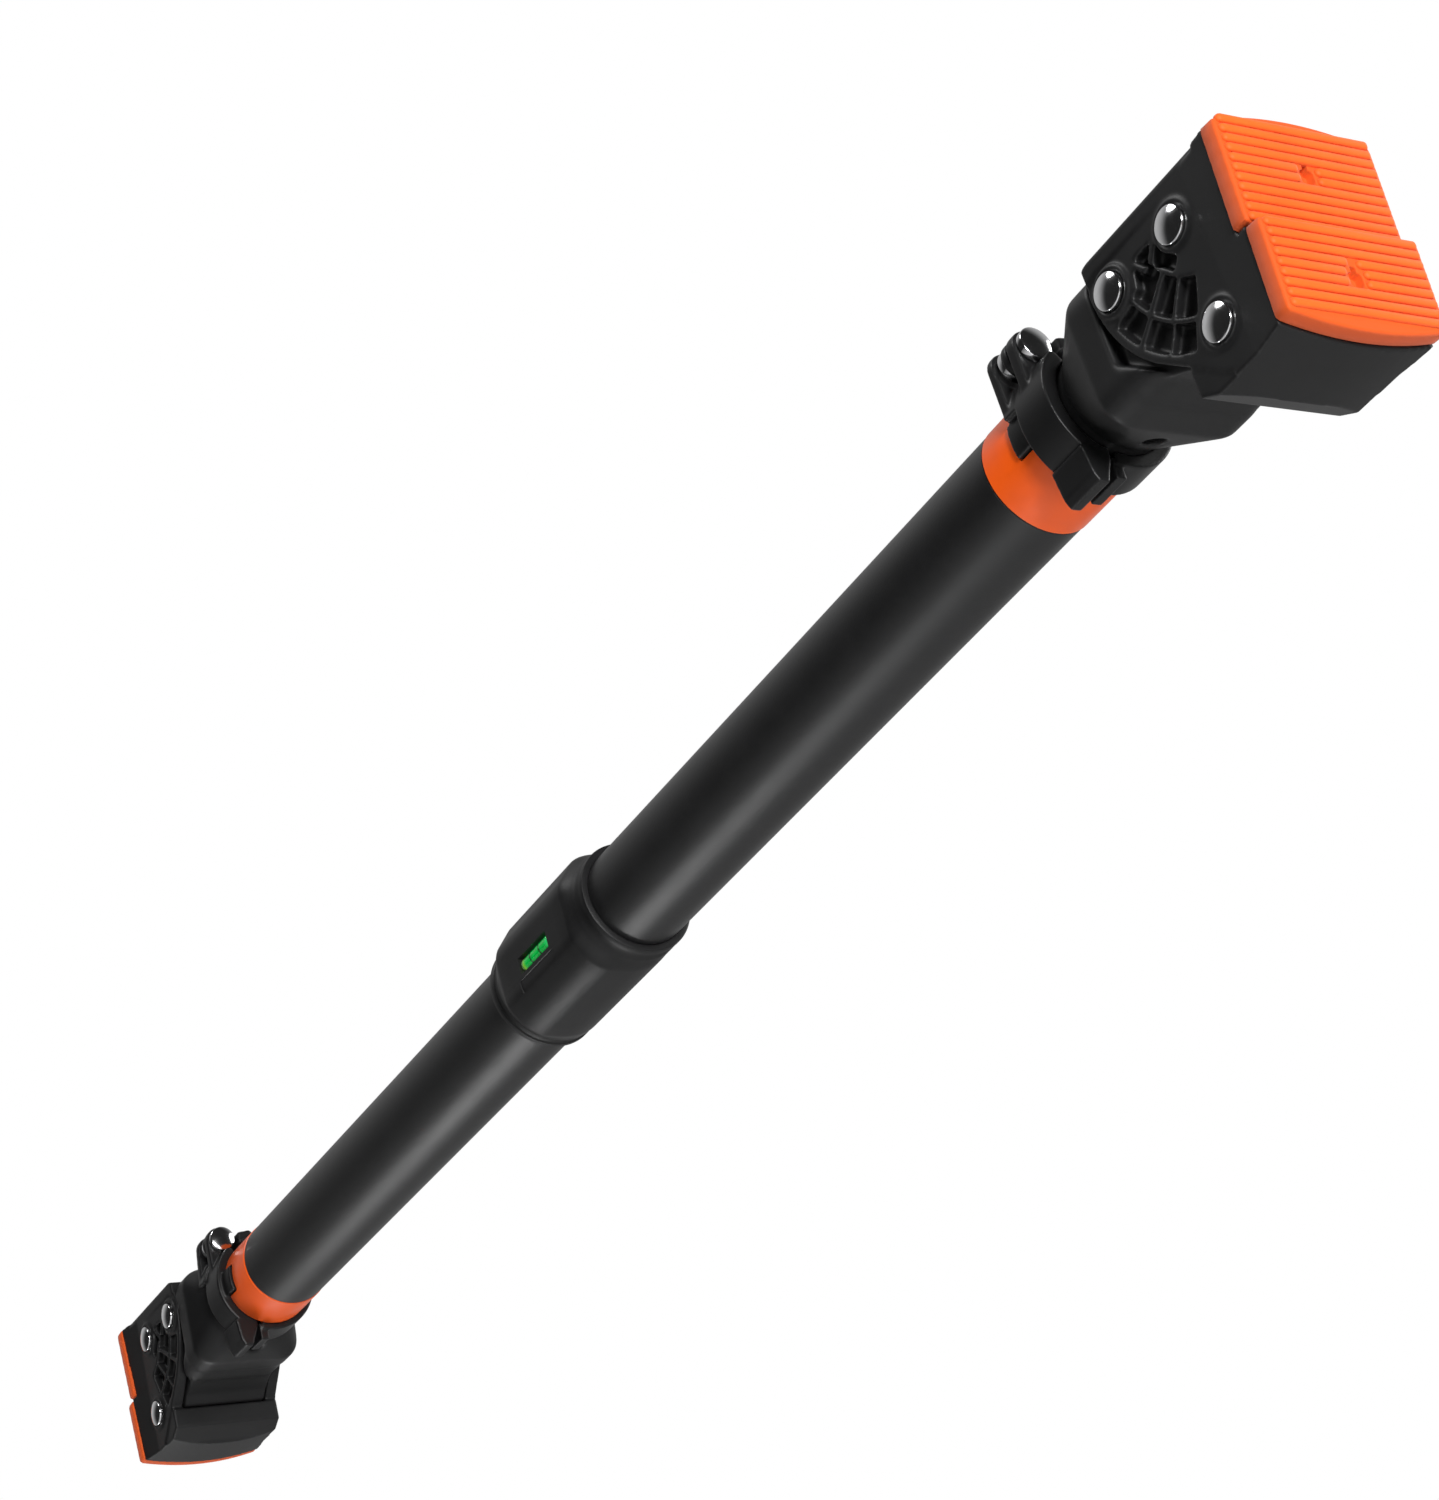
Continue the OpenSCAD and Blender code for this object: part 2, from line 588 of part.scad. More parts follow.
module keeper(turned) difference() {
    union() {
        collar_part(collar_x, collar_end, journal_r + seat_gap, keeper_r, -90 - keeper_end, 112);
        hinge_end(turned) {
            // Knuckle beside the gate's ear
            along_x(knuckle_x, knuckle_x + knuckle_w) hull() {
                hinge_spot() circle(r = ear_r - 0.3, $fn = 32);
                sector(journal_r + 2, keeper_r - 0.5, 97, 111);
            }
            // Strap behind the ears
            along_x(knuckle_x + 0.5, collar_end - 3) polygon([[-hinge_y + 6.9, keeper_r - 4.1],
                [-hinge_y + 6.9, keeper_r + 3.1], [-2, keeper_r + 3.8], [3, keeper_r - 1.6]]);
        }
        // Catch rib that the gate's block snaps against
        along_x(collar_x + 0.5, collar_end - 0.5) polygon([[-catch_y + 3.7, -keeper_r + 2.1],
            [-catch_y + 3.7, -catch_z + 2.4], [-catch_y, -catch_z + 2.4], [-catch_y, -journal_r - 0.7]]);
    }
    bar_disc(collar_x - 1, collar_end + 1, journal_r + seat_gap);
    // Room for the gate's ear and for both heads of the pin
    hinge_end(turned) about_hinge() {
        bar_disc(collar_x - 1, knuckle_x, ear_r);
        bar_disc(knuckle_x + knuckle_w, collar_end + 1, ear_r + gate_gap);
        bar_disc(collar_x, collar_end, pin_d / 2 + bore_slack);
    }
}

// The hinge's parts; the left lock wears them turned end for end about the collar's middle
module hinge_end(turned) {
    if (turned) translate([collar_x + collar_end, 0, 0]) mirror([1, 0, 0]) children();
    else children();
}
module about_hinge() translate([0, -hinge_y, hinge_z]) children();

// Web from an ear down to the gate's body
module ear_outline(web_r) hull() {
    hinge_spot() circle(r = ear_r, $fn = 32);
    sector(journal_r + 3, web_r, 140, 162);
}

module gate(turned) difference() {
    guard_in_r = turned ? over_neck_r : over_ring_r;
    guard_out_r = turned ? over_neck_r + 2.6 : gate_r - 0.3;
    union() {
        collar_part(collar_x, collar_end, gate_in_r, gate_r, 129, 246);
        // Pinned ear, and a guard ear that reaches over the ring or over the neck
        hinge_end(turned) difference() {
            union() {
                along_x(ear_x, ear_x + ear_w) ear_outline(gate_r - 0.7);
                along_x(guard_x, guard_x + guard_w) ear_outline(guard_out_r - 0.4);
                collar_part(guard_x + 0.5, collar_x + 1, guard_in_r, guard_out_r, 138, 164);
            }
            bar_disc(guard_x - 1, collar_x, guard_in_r);
        }
        // Catch block at the lower end
        along_x(collar_x, collar_end + 0.5) polygon([[-gate_r + 5.1, -gate_in_r + 1.7],
            [-gate_r + 6.1, -catch_z + 3], [-gate_r + 7.6, -catch_z], [-gate_r + 11.1, -catch_z],
            [-catch_y - gate_gap, -gate_in_r - 1.3], [-catch_y - gate_gap, -gate_in_r + 1.7]]);
        // Tooth that drops into the ring's front notch
        intersection() {
            collar_part(ring_len - notch_depth + tooth_gap, collar_x + 1, gate_in_r, ring_r + 1.2,
                150, 210);
            translate([0, -2 * tube_r, -notch_w / 2 + tooth_gap])
                cube([2 * ring_len, 2 * tube_r, notch_w - 2 * tooth_gap]);
        }
    }
    bar_disc(guard_x - 1, collar_end + 1, gate_in_r);
    // Room for the keeper's knuckle and for both heads of the pin
    hinge_end(turned) about_hinge() {
        bar_disc(knuckle_x - pin_head_t - gate_gap, ear_x, ear_r + gate_gap);
        bar_disc(ear_x + ear_w, collar_end + 1, pin_head_d / 2 + gate_gap);
        bar_disc(guard_x - 1, collar_end, pin_d / 2 + pin_gap);
    }
}

module hinge_pin(turned) hinge_end(turned) about_hinge() {
    bar_disc(knuckle_x - 0.5, ear_x + ear_w + 0.6, pin_d / 2);
    translate([ear_x + ear_w + 0.3, 0, 0]) rotate([0, 90, 0]) domed_head(pin_head_d, pin_head_t);
    translate([knuckle_x - 0.05, 0, 0]) rotate([0, -90, 0]) domed_head(pin_head_d, pin_head_t);
}

/* Nodes */

module left_tube() color([0.05, 0.05, 0.05]) mirror([1, 0, 0]) tube_half();
module right_tube() color([0.05, 0.05, 0.05]) tube_half();
module joiner_tube() color([0.5, 0.5, 0.52]) joiner();
module joiner_screws() color([0.75, 0.75, 0.77]) joint_screws();
module centre_sleeve() color([0.07, 0.07, 0.07]) sleeve();
module level_vial() color([0.6, 0.9, 0.6, 0.5]) vial();
module level_liquid() color([0.1, 0.75, 0.25]) vial_liquid();
module level_backing() color([0.9, 0.95, 0.9]) vial_backing();
module left_ring() color([1, 0.38, 0.1]) left_side() end_ring();
module right_ring() color([1, 0.38, 0.1]) right_side() end_ring();
module left_nut() color([0.6, 0.6, 0.62]) left_side() tube_nut();
module right_nut() color([0.6, 0.6, 0.62]) right_side() tube_nut();
module left_spindle() color([0.65, 0.65, 0.67]) left_side() spindle();
module right_spindle() color([0.65, 0.65, 0.67]) right_side() spindle();
module left_cross_pin() color([0.7, 0.7, 0.7]) left_side() cross_pin();
module right_cross_pin() color([0.7, 0.7, 0.7]) right_side() cross_pin();
module left_neck() color([0.08, 0.08, 0.08]) left_side() neck();
module right_neck() color([0.08, 0.08, 0.08]) right_side() neck();
module left_core_plate() color([0.55, 0.55, 0.57]) left_side() core_plate();
module right_core_plate() color([0.55, 0.55, 0.57]) right_side() core_plate();
module left_shell() color([0.09, 0.09, 0.09]) left_side() shell();
module right_shell() color([0.09, 0.09, 0.09]) right_side() shell();
module left_rivets() color([0.85, 0.85, 0.87]) left_side() rivets();
module right_rivets() color([0.85, 0.85, 0.87]) right_side() rivets();
module left_upper_pad() color([1, 0.42, 0.12]) left_side() upper_pad();
module right_upper_pad() color([1, 0.42, 0.12]) right_side() upper_pad();
module left_lower_pad() color([1, 0.42, 0.12]) left_side() lower_pad();
module right_lower_pad() color([1, 0.42, 0.12]) right_side() lower_pad();
module left_pad_screws() color([0.8, 0.8, 0.82]) left_side() pad_screws();
module right_pad_screws() color([0.8, 0.8, 0.82]) right_side() pad_screws();
module left_keeper() color([0.1, 0.1, 0.1]) left_side() keeper(true);
module right_keeper() color([0.1, 0.1, 0.1]) right_side() keeper(false);
module left_gate() color([0.12, 0.12, 0.12]) left_side() gate(true);
module right_gate() color([0.12, 0.12, 0.12]) right_side() gate(false);
module left_hinge_pin() color([0.85, 0.85, 0.87]) left_side() hinge_pin(true);
module right_hinge_pin() color([0.85, 0.85, 0.87]) right_side() hinge_pin(false);

left_tube();
right_tube();
joiner_tube();
joiner_screws();
centre_sleeve();
level_vial();
level_liquid();
level_backing();
left_ring();
right_ring();
left_nut();
right_nut();
left_spindle();
right_spindle();
left_cross_pin();
right_cross_pin();
left_neck();
right_neck();
left_core_plate();
right_core_plate();
left_shell();
right_shell();
left_rivets();
right_rivets();
left_upper_pad();
right_upper_pad();
left_lower_pad();
right_lower_pad();
left_pad_screws();
right_pad_screws();
left_keeper();
right_keeper();
left_gate();
right_gate();
left_hinge_pin();
right_hinge_pin();
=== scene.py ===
"""Doorway pull up bar: coated tubes, moulded heads and ribbed pads, built round the CAD frame."""
import json
import math

import bmesh
import bpy
import numpy as np
from bpy.props import FloatProperty, FloatVectorProperty, PointerProperty
from mathutils import Matrix, Vector


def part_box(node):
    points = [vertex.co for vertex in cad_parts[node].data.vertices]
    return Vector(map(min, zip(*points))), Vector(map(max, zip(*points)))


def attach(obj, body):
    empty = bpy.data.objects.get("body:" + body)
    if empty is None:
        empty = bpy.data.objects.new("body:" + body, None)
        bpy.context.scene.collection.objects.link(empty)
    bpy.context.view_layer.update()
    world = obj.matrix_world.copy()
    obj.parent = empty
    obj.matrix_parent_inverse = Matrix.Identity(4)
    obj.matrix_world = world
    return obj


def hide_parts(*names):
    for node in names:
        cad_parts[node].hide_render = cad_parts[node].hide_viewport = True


bl_info = {
    "name": "Pull Up Bar",
    "version": (1, 0, 0),
    "blender": (4, 5, 0),
    "location": "View3D > Sidebar > Pull Up Bar",
    "description": "Builds the tubes, rings, locks, heads and pads of a doorway pull up bar",
    "category": "Object",
}

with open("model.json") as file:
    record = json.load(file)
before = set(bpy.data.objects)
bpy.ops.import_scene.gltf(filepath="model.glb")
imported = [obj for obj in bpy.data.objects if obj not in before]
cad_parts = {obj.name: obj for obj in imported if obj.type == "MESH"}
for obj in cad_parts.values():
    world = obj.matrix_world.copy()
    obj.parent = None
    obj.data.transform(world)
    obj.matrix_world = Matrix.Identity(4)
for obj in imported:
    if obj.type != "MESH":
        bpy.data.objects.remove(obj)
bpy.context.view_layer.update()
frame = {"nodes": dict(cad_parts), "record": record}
MM = 0.001
SIDES = (("left", -1), ("right", 1))
MOUNTS = {m["name"]: m for m in frame["record"]["mounts"]}


def span(node, axis):
    """Lowest and highest value of a CAD node along axis 0, 1 or 2, in millimetres."""
    low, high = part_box(node)
    return low[axis] / MM, high[axis] / MM


TUBE_R = span("right_tube", 2)[1]
ROOT_X = span("right_tube", 0)[1]
RING_R = span("right_ring", 2)[1]
RING_END = span("right_ring", 0)[1]
RIVET_OUT = span("right_rivets", 1)[1]
# How far a rivet's head stands off the shell, and a hinge pin's head off its boss
RIVET_HIGH, PIN_HIGH = 2.6, 3.2


# ---------------------------------------------------------------- sizes a user may change

class BarSizes(bpy.types.PropertyGroup):
    """Finish sizes of the tubes, the sleeve and the screws, in millimetres."""
    tube_chamfer: FloatProperty(name="Tube chamfer", description="Chamfer on the tube's ends",
                                default=0.4, min=0.1, max=1)
    tube_bore: FloatProperty(name="Tube bore", description="Radius of the tube's bore",
                             default=TUBE_R - 1.5, min=10, max=30)
    thread_pitch: FloatProperty(name="Thread pitch", description="Pitch of the spindle's thread",
                                default=4.0, min=2, max=8)
    thread_depth: FloatProperty(name="Thread depth", description="Depth of the spindle's thread",
                                default=1.2, min=0.4, max=2)
    sleeve_rim: FloatProperty(name="Sleeve rim", description="Rounding of the sleeve's end rims",
                              default=0.7, min=0.2, max=1.5)


class HeadSizes(bpy.types.PropertyGroup):
    """Finish sizes of the heads, the locks and the pads, in millimetres."""
    skin: FloatProperty(name="Head skin", description="Mesh size of the neck and the shell",
                        default=0.55, min=0.4, max=1.5)
    lock_skin: FloatProperty(name="Lock skin", description="Mesh size of the keeper and the gate",
                             default=0.36, min=0.3, max=1.0)
    rib_pitch: FloatProperty(name="Rib pitch", description="Distance between two ribs",
                             default=3.0, min=2, max=4)
    pad_round: FloatProperty(name="Pad rounding", description="Rounding of a pad's rim",
                             default=1.0, min=0.4, max=2)
    recess: FloatProperty(name="Screw recess", description="Radius of a pad's screw recess",
                          default=2.4, min=1.5, max=4)


class Finishes(bpy.types.PropertyGroup):
    """Colours of the materials."""
    coat: FloatVectorProperty(name="Tube coat", description="Black powder coat of the tubes",
                              subtype="COLOR", size=3, default=(0.006, 0.006, 0.0064), min=0, max=1)
    plastic: FloatVectorProperty(name="Moulding", description="Black moulded plastic",
                                 subtype="COLOR", size=3, default=(0.006, 0.006, 0.0063),
                                 min=0, max=1)
    ring: FloatVectorProperty(name="Ring", description="Orange of the end rings",
                              subtype="COLOR", size=3, default=(1.0, 0.115, 0.004), min=0, max=1)
    pad: FloatVectorProperty(name="Pad", description="Orange of the rubber pads",
                             subtype="COLOR", size=3, default=(1.0, 0.125, 0.006), min=0, max=1)
    steel: FloatVectorProperty(name="Steel", description="Bright steel of pins and rivets",
                               subtype="COLOR", size=3, default=(0.82, 0.82, 0.83), min=0, max=1)
    liquid: FloatVectorProperty(name="Level liquid", description="Green liquid of the level vial",
                                subtype="COLOR", size=3, default=(0.0, 0.42, 0.06), min=0, max=1)


# ---------------------------------------------------------------- surfaces from arrays

def wound(rows, cols, closed_rows=False):
    """Quads of a grid that is closed round its columns, and round its rows too if asked."""
    i = np.arange(rows if closed_rows else rows - 1)[:, None]
    j = np.arange(cols)[None, :]
    i2, j2 = (i + 1) % rows, (j + 1) % cols
    quads = np.stack([i * cols + j, i * cols + j2, i2 * cols + j2, i2 * cols + j], axis=-1)
    return quads.reshape(-1, 4)


class Shape:
    """Gathers grids of points into one mesh. Points are in millimetres, in the frame's axes."""

    def __init__(self):
        self.points, self.faces, self.count = [], [], 0

    def grid(self, p, closed_rows=False):
        """A grid p[row, column] closed round its columns; open ends get a flat cap each."""
        rows, cols = p.shape[:2]
        quads = wound(rows, cols, closed_rows)
        self.faces.extend((quads + self.count).tolist())
        if not closed_rows:
            first = np.arange(cols)[::-1] + self.count
            self.faces.append(first.tolist())
            self.faces.append((first[::-1] + (rows - 1) * cols).tolist())
        self.points.append(p.reshape(-1, 3))
        self.count += rows * cols
        return self

    def mirrored(self, side):
        """The same shape, turned to the left side by changing the sign of x."""
        if side > 0:
            return self
        other = Shape()
        other.points = [p * [-1, 1, 1] for p in self.points]
        other.faces = [f[::-1] for f in self.faces]
        other.count = self.count
        return other

    def piece(self, name, body, slot, material, *nodes, sharp=40):
        """Makes the object, merges doubles, turns faces outwards and ties it to its body."""
        mesh = bpy.data.meshes.new(name)
        mesh.from_pydata((np.concatenate(self.points) * MM).tolist(), [], self.faces)
        bm = bmesh.new()
        bm.from_mesh(mesh)
        bmesh.ops.remove_doubles(bm, verts=bm.verts, dist=1e-6)
        bmesh.ops.dissolve_degenerate(bm, edges=bm.edges, dist=1e-7)
        bmesh.ops.recalc_face_normals(bm, faces=bm.faces)
        bm.to_mesh(mesh)
        bm.free()
        return finish_piece(mesh, name, body, material, nodes, sharp)


def finish_piece(mesh, name, body, material, nodes, sharp):
    """Smooth faces with sharp edges kept, one material, and the frame's own bookkeeping."""
    mesh.polygons.foreach_set("use_smooth", np.ones(len(mesh.polygons), bool))
    mesh.set_sharp_from_angle(angle=math.radians(sharp))
    mesh.materials.append(material)
    obj = bpy.data.objects.new(name, mesh)
    bpy.context.scene.collection.objects.link(obj)
    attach(obj, body)
    if nodes:
        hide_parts(*nodes)
    return obj


def turned(profile, n=96, centre=(0, 0, 0), axis="x"):
    """A profile of (along, radius) turned about the x or the y axis through a centre.

    p = centre + along * a + radius * (b cos t + c sin t), with a the axis and b and c across it.
    """
    along, radius = np.array(profile, float).T
    t = np.linspace(0, 2 * np.pi, n, endpoint=False)
    a = along[:, None] + 0 * t
    b, c = radius[:, None] * np.cos(t), radius[:, None] * np.sin(t)
    order = {"x": (a, b, c), "y": (b, a, c)}[axis]
    return np.stack(order, axis=-1) + np.array(centre, float)


def bend(a, b, r0, r1, start, end, n=5):
    """Quarter-round between two directions: points (a + r0 cos t, b + r1 sin t), t in degrees."""
    t = np.radians(np.linspace(start, end, n))
    return [(a + r0 * c, b + r1 * s) for c, s in zip(np.cos(t), np.sin(t))]


def rounded(corners, n=5):
    """Closed outline from (x, y, r) corners, each an arc-like curve tangent to both of its sides.

    The curve is (1-t)^2 P + 2t(1-t) C + t^2 Q, with P and Q on the two sides of the corner C.
    """
    pts = np.array([c[:2] for c in corners], float)
    radii = np.array([c[2] if len(c) > 2 else 0 for c in corners], float)
    out = []
    for k, (c, r) in enumerate(zip(pts, radii)):
        if r <= 0:
            out.append(c[None])
            continue
        before, after = pts[k - 1] - c, pts[(k + 1) % len(pts)] - c
        lb, la = np.linalg.norm(before), np.linalg.norm(after)
        cut = min(r, lb * 0.48, la * 0.48)
        p, q = c + before / lb * cut, c + after / la * cut
        t = np.linspace(0, 1, n)[:, None]
        out.append((1 - t) ** 2 * p + 2 * t * (1 - t) * c + t ** 2 * q)
    return np.concatenate(out)


def inset(outline, d):
    """Outline moved inwards by d along the mean of its two side normals at each point."""
    ahead = np.roll(outline, -1, 0) - outline
    behind = outline - np.roll(outline, 1, 0)
    ahead /= np.linalg.norm(ahead, axis=1)[:, None] + 1e-12
    behind /= np.linalg.norm(behind, axis=1)[:, None] + 1e-12
    mid = ahead + behind
    mid /= np.linalg.norm(mid, axis=1)[:, None] + 1e-12
    x, y = outline.T
    area = np.sum(x * np.roll(y, -1) - y * np.roll(x, -1))
    normal = np.stack([-mid[:, 1], mid[:, 0]], axis=1) * np.sign(area)
    stretch = 1 / np.clip(np.sum(mid * ahead, axis=1), 0.5, 1)
    return outline + normal * (d * stretch)[:, None]


def slab(outline, low, high, edge):
    """A (y, z) outline carried along x from low to high, with a chamfered edge at each end.

    The end rows are the outline moved in by the edge, and the next rows are the edge further on.
    """
    out = []
    for x, move in ((low, edge), (low + edge, 0), (high - edge, 0), (high, edge)):
        y, z = inset(outline, move).T
        out.append(np.stack([np.full_like(y, x), y, z], axis=-1))
    return np.array(out)


def ray_radius(outline, angles):
    """Distance from the centre to a star-shaped outline at each angle, by linear interpolation."""
    a = np.arctan2(outline[:, 1], outline[:, 0])
    r = np.hypot(outline[:, 0], outline[:, 1])
    order = np.argsort(a)
    a, r = a[order], r[order]
    a = np.concatenate([a - 2 * np.pi, a, a + 2 * np.pi])
    return np.interp((angles + np.pi) % (2 * np.pi) - np.pi, a, np.tile(r, 3))


def dense(outline, n=12):
    """Outline with n points on each of its sides."""
    t = np.linspace(0, 1, n, endpoint=False)[None, :, None]
    nxt = np.roll(outline, -1, 0)
    return (outline[:, None] * (1 - t) + nxt[:, None] * t).reshape(-1, 2)


def moulded_skin(name, node, body, material, voxel, passes, extra=None):
    """A merged copy of a CAD node and any extra shape, rebuilt as one even skin and then relaxed.

    Each pass moves every point half of the way to the mean of its neighbours, so that an edge
    takes a small round of about voxel * sqrt(passes / 2); flat and round faces stay where they are.
    """
    mesh = frame["nodes"][node].data.copy()
    mesh.materials.clear()
    bm = bmesh.new()
    bm.from_mesh(mesh)
    bmesh.ops.remove_doubles(bm, verts=bm.verts, dist=2e-6)
    if extra:
        added = bpy.data.meshes.new(name + "_extra")
        added.from_pydata((np.concatenate(extra.points) * MM).tolist(), [], extra.faces)
        bm.from_mesh(added)
    bm.to_mesh(mesh)
    bm.free()
    rough = bpy.data.objects.new(name + "_rough", mesh)
    bpy.context.scene.collection.objects.link(rough)
    skin = rough.modifiers.new("Skin", "REMESH")
    skin.mode = "VOXEL"
    skin.voxel_size = voxel * MM
    relax = rough.modifiers.new("Relax", "SMOOTH")
    relax.factor = 0.5
    relax.iterations = passes
    thin = rough.modifiers.new("Thin", "DECIMATE")
    thin.ratio = 0.45
    graph = bpy.context.evaluated_depsgraph_get()
    done = bpy.data.meshes.new_from_object(rough.evaluated_get(graph))
    bpy.data.objects.remove(rough)
    return finish_piece(done, name, body, material, [node], 180)


# ---------------------------------------------------------------- materials

class Val:
    """A number socket that can be used in Python expressions; each operation adds one Math node."""

    def __init__(self, shade, socket):
        self.shade, self.socket = shade, socket

    def op(self, kind, other):
        return self.shade.node("ShaderNodeMath", {"operation": kind}, self, other)

    def __add__(self, other):
        return self.op("ADD", other)

    def __sub__(self, other):
        return self.op("SUBTRACT", other)

    def __mul__(self, other):
        return self.op("MULTIPLY", other)

    def __rsub__(self, other):
        return self.shade.node("ShaderNodeMath", {"operation": "SUBTRACT"}, other, self)

    __radd__ = __add__
    __rmul__ = __mul__

    def step(self, low, high):
        """Smooth step from 0 at low to 1 at high."""
        return self.shade.node("ShaderNodeMapRange", {"interpolation_type": "SMOOTHSTEP"}, self,
                               low, high, 0.0, 1.0)


class Shade:
    """One material: a node tree, its Object coordinates and its Principled shader."""

    def __init__(self, name, **constants):
        self.material = bpy.data.materials.new(name)
        self.material.use_nodes = True
        self.tree = self.material.node_tree
        self.tree.nodes.clear()
        self.shader = self.tree.nodes.new("ShaderNodeBsdfPrincipled")
        out = self.tree.nodes.new("ShaderNodeOutputMaterial")
        self.tree.links.new(self.shader.outputs[0], out.inputs["Surface"])
        self.place = self.node("ShaderNodeTexCoord", {}, output="Object")
        for socket, value in constants.items():
            self.set(socket.replace("_", " "), value)

    def node(self, kind, settings, *values, output=0, **named):
        """Adds a node, sets it, then feeds its sockets in order or by name; returns an output."""
        new = self.tree.nodes.new(kind)
        for key, value in settings.items():
            setattr(new, key, value)
        pairs = list(zip(new.inputs, values))
        pairs += [(new.inputs[key.replace("_", " ")], value) for key, value in named.items()]
        for socket, value in pairs:
            self.feed(socket, value)
        return Val(self, new.outputs[output])

    def feed(self, socket, value):
        """Links a value that comes from a node, and sets any other as the socket's constant."""
        if isinstance(value, Val):
            self.tree.links.new(value.socket, socket)
        elif socket.type == "RGBA" and not np.isscalar(value):
            socket.default_value = tuple(value)[:3] + (1.0,)
        else:
            socket.default_value = value

    def set(self, name, value):
        self.feed(self.shader.inputs[name], value)

    def noise(self, scale, detail=3.0, rough=0.5, at=None):
        return self.node("ShaderNodeTexNoise", {}, Vector=at or self.place, Scale=scale,
                         Detail=detail, Roughness=rough)

    def stretched(self, x, y, z):
        """Object coordinates scaled by a different amount along each axis."""
        return self.node("ShaderNodeMapping", {}, Vector=self.place, Scale=(x, y, z))

    def mix(self, factor, first, second):
        new = self.tree.nodes.new("ShaderNodeMix")
        new.data_type = "RGBA"
        self.feed(new.inputs["Factor"], factor)
        colours = [s for s in new.inputs if s.type == "RGBA"]
        self.feed(colours[0], first)
        self.feed(colours[1], second)
        return Val(self, [s for s in new.outputs if s.type == "RGBA"][0])

    def bump(self, height, distance, strength=1.0):
        self.set("Normal", self.node("ShaderNodeBump", {}, Height=height, Distance=distance,
                                     Strength=strength))


def shade_of(colour, factor):
    """A colour made lighter or darker by a factor, kept below one."""
    return tuple(min(c * factor, 1.0) for c in colour)


def powder_coat(name, colour):
    """Satin black powder coat: a fine orange-peel skin, faint dust and a few rubbed streaks."""
    s = Shade(name, IOR=1.5, Specular_IOR_Level=0.42)
    peel = s.noise(1500, 2)
    dust = s.noise(60, 5, 0.65)
    streak = s.noise(30, 4, 0.6, at=s.stretched(0.12, 1, 1)).step(0.55, 0.75)
    s.set("Base Color", s.mix(dust.step(0.35, 0.8) * 0.5, colour, shade_of(colour, 1.7)))
    s.set("Roughness", 0.36 + dust * 0.10 + streak * 0.06)
    s.bump(peel, 0.00006, 0.5)
    return s.material


def moulded(name, colour, roughness=0.42, grain=0.00005, lift=1.6):
    """Moulded plastic: spark-eroded grain, soft flow shading and slightly polished patches."""
    s = Shade(name, IOR=1.48, Specular_IOR_Level=0.32)
    grit = s.noise(2600, 2, 0.6)
    flow = s.noise(28, 4, 0.6)
    rubbed = s.noise(9, 3, 0.5).step(0.55, 0.75)
    s.set("Base Color", s.mix(flow.step(0.3, 0.8), colour, shade_of(colour, lift)))
    s.set("Roughness", roughness + flow * 0.10 - rubbed * 0.07)
    s.bump(grit + flow * 0.3, grain, 0.6)
    return s.material


def orange_plastic(name, colour):
    """Bright moulded ring: even colour, light gloss, a whisper of grain."""
    s = Shade(name, IOR=1.49, Specular_IOR_Level=0.5)
    flow = s.noise(45, 3, 0.5)
    grit = s.noise(2200, 2, 0.6)
    s.set("Base Color", s.mix(flow.step(0.3, 0.75), shade_of(colour, 0.9), shade_of(colour, 1.03)))
    s.set("Roughness", 0.30 + flow * 0.12)
    s.bump(grit, 0.00003, 0.5)
    return s.material


def pad_rubber(name, colour):
    """Soft rubber: matt and finely pitted, with painted shade that darkens the grooves between the
    ribs.
    """
    s = Shade(name, IOR=1.46, Specular_IOR_Level=0.35, Sheen_Weight=0.15, Sheen_Roughness=0.5)
    pits = s.noise(1700, 3, 0.6)
    cloud = s.noise(40, 4, 0.6)
    # Painted shade: the 'groove' mask darkens the floor between the ribs and the slab below them,
    # and roughens them a little
    groove = s.node("ShaderNodeAttribute", {"attribute_name": "groove"}, output="Fac")
    unshaded_rubber = s.mix(cloud.step(0.3, 0.8), shade_of(colour, 0.92), shade_of(colour, 1.04))
    # Painted shade in the grooves: the rubber's colour is mixed towards a darker orange
    s.set("Base Color", s.mix(groove * 0.5, unshaded_rubber, shade_of(colour, 0.45)))
    s.set("Roughness", 0.52 + cloud * 0.12 + groove * 0.1)
    s.bump(pits, 0.00005, 0.6)
    return s.material


def bright_steel(name, colour):
    """Polished and nickelled steel: fine hairlines, slightly clouded."""
    s = Shade(name, Metallic=1.0)
    hair = s.noise(900, 3, 0.7, at=s.stretched(1, 0.08, 0.3))
    cloud = s.noise(220, 3, 0.5)
    s.set("Base Color", s.mix(cloud.step(0.3, 0.8), shade_of(colour, 0.86), colour))
    s.set("Roughness", 0.06 + hair * 0.08 + cloud * 0.04)
    s.bump(hair, 0.00001, 0.4)
    return s.material


def plain_steel(name, colour):
    """Turned or sawn steel: rings from the lathe across the length, oiled and a little stained."""
    s = Shade(name, Metallic=1.0)
    rings = s.noise(1400, 2, 0.5, at=s.stretched(1, 0.03, 0.03))
    stain = s.noise(35, 5, 0.65)
    s.set("Base Color", s.mix(stain.step(0.35, 0.8), shade_of(colour, 0.62), shade_of(colour, 0.8)))
    s.set("Roughness", 0.32 + stain * 0.15 + rings * 0.05)
    s.bump(rings, 0.00002, 0.5)
    return s.material


def clear_vial(name):
    """Clear acrylic with a faint green cast and a few moulding swirls."""
    s = Shade(name, Base_Color=(0.9, 1.0, 0.9), IOR=1.49, Transmission_Weight=1.0)
    swirl = s.noise(260, 2, 0.4)
    s.set("Roughness", 0.02 + swirl * 0.04)
    return s.material


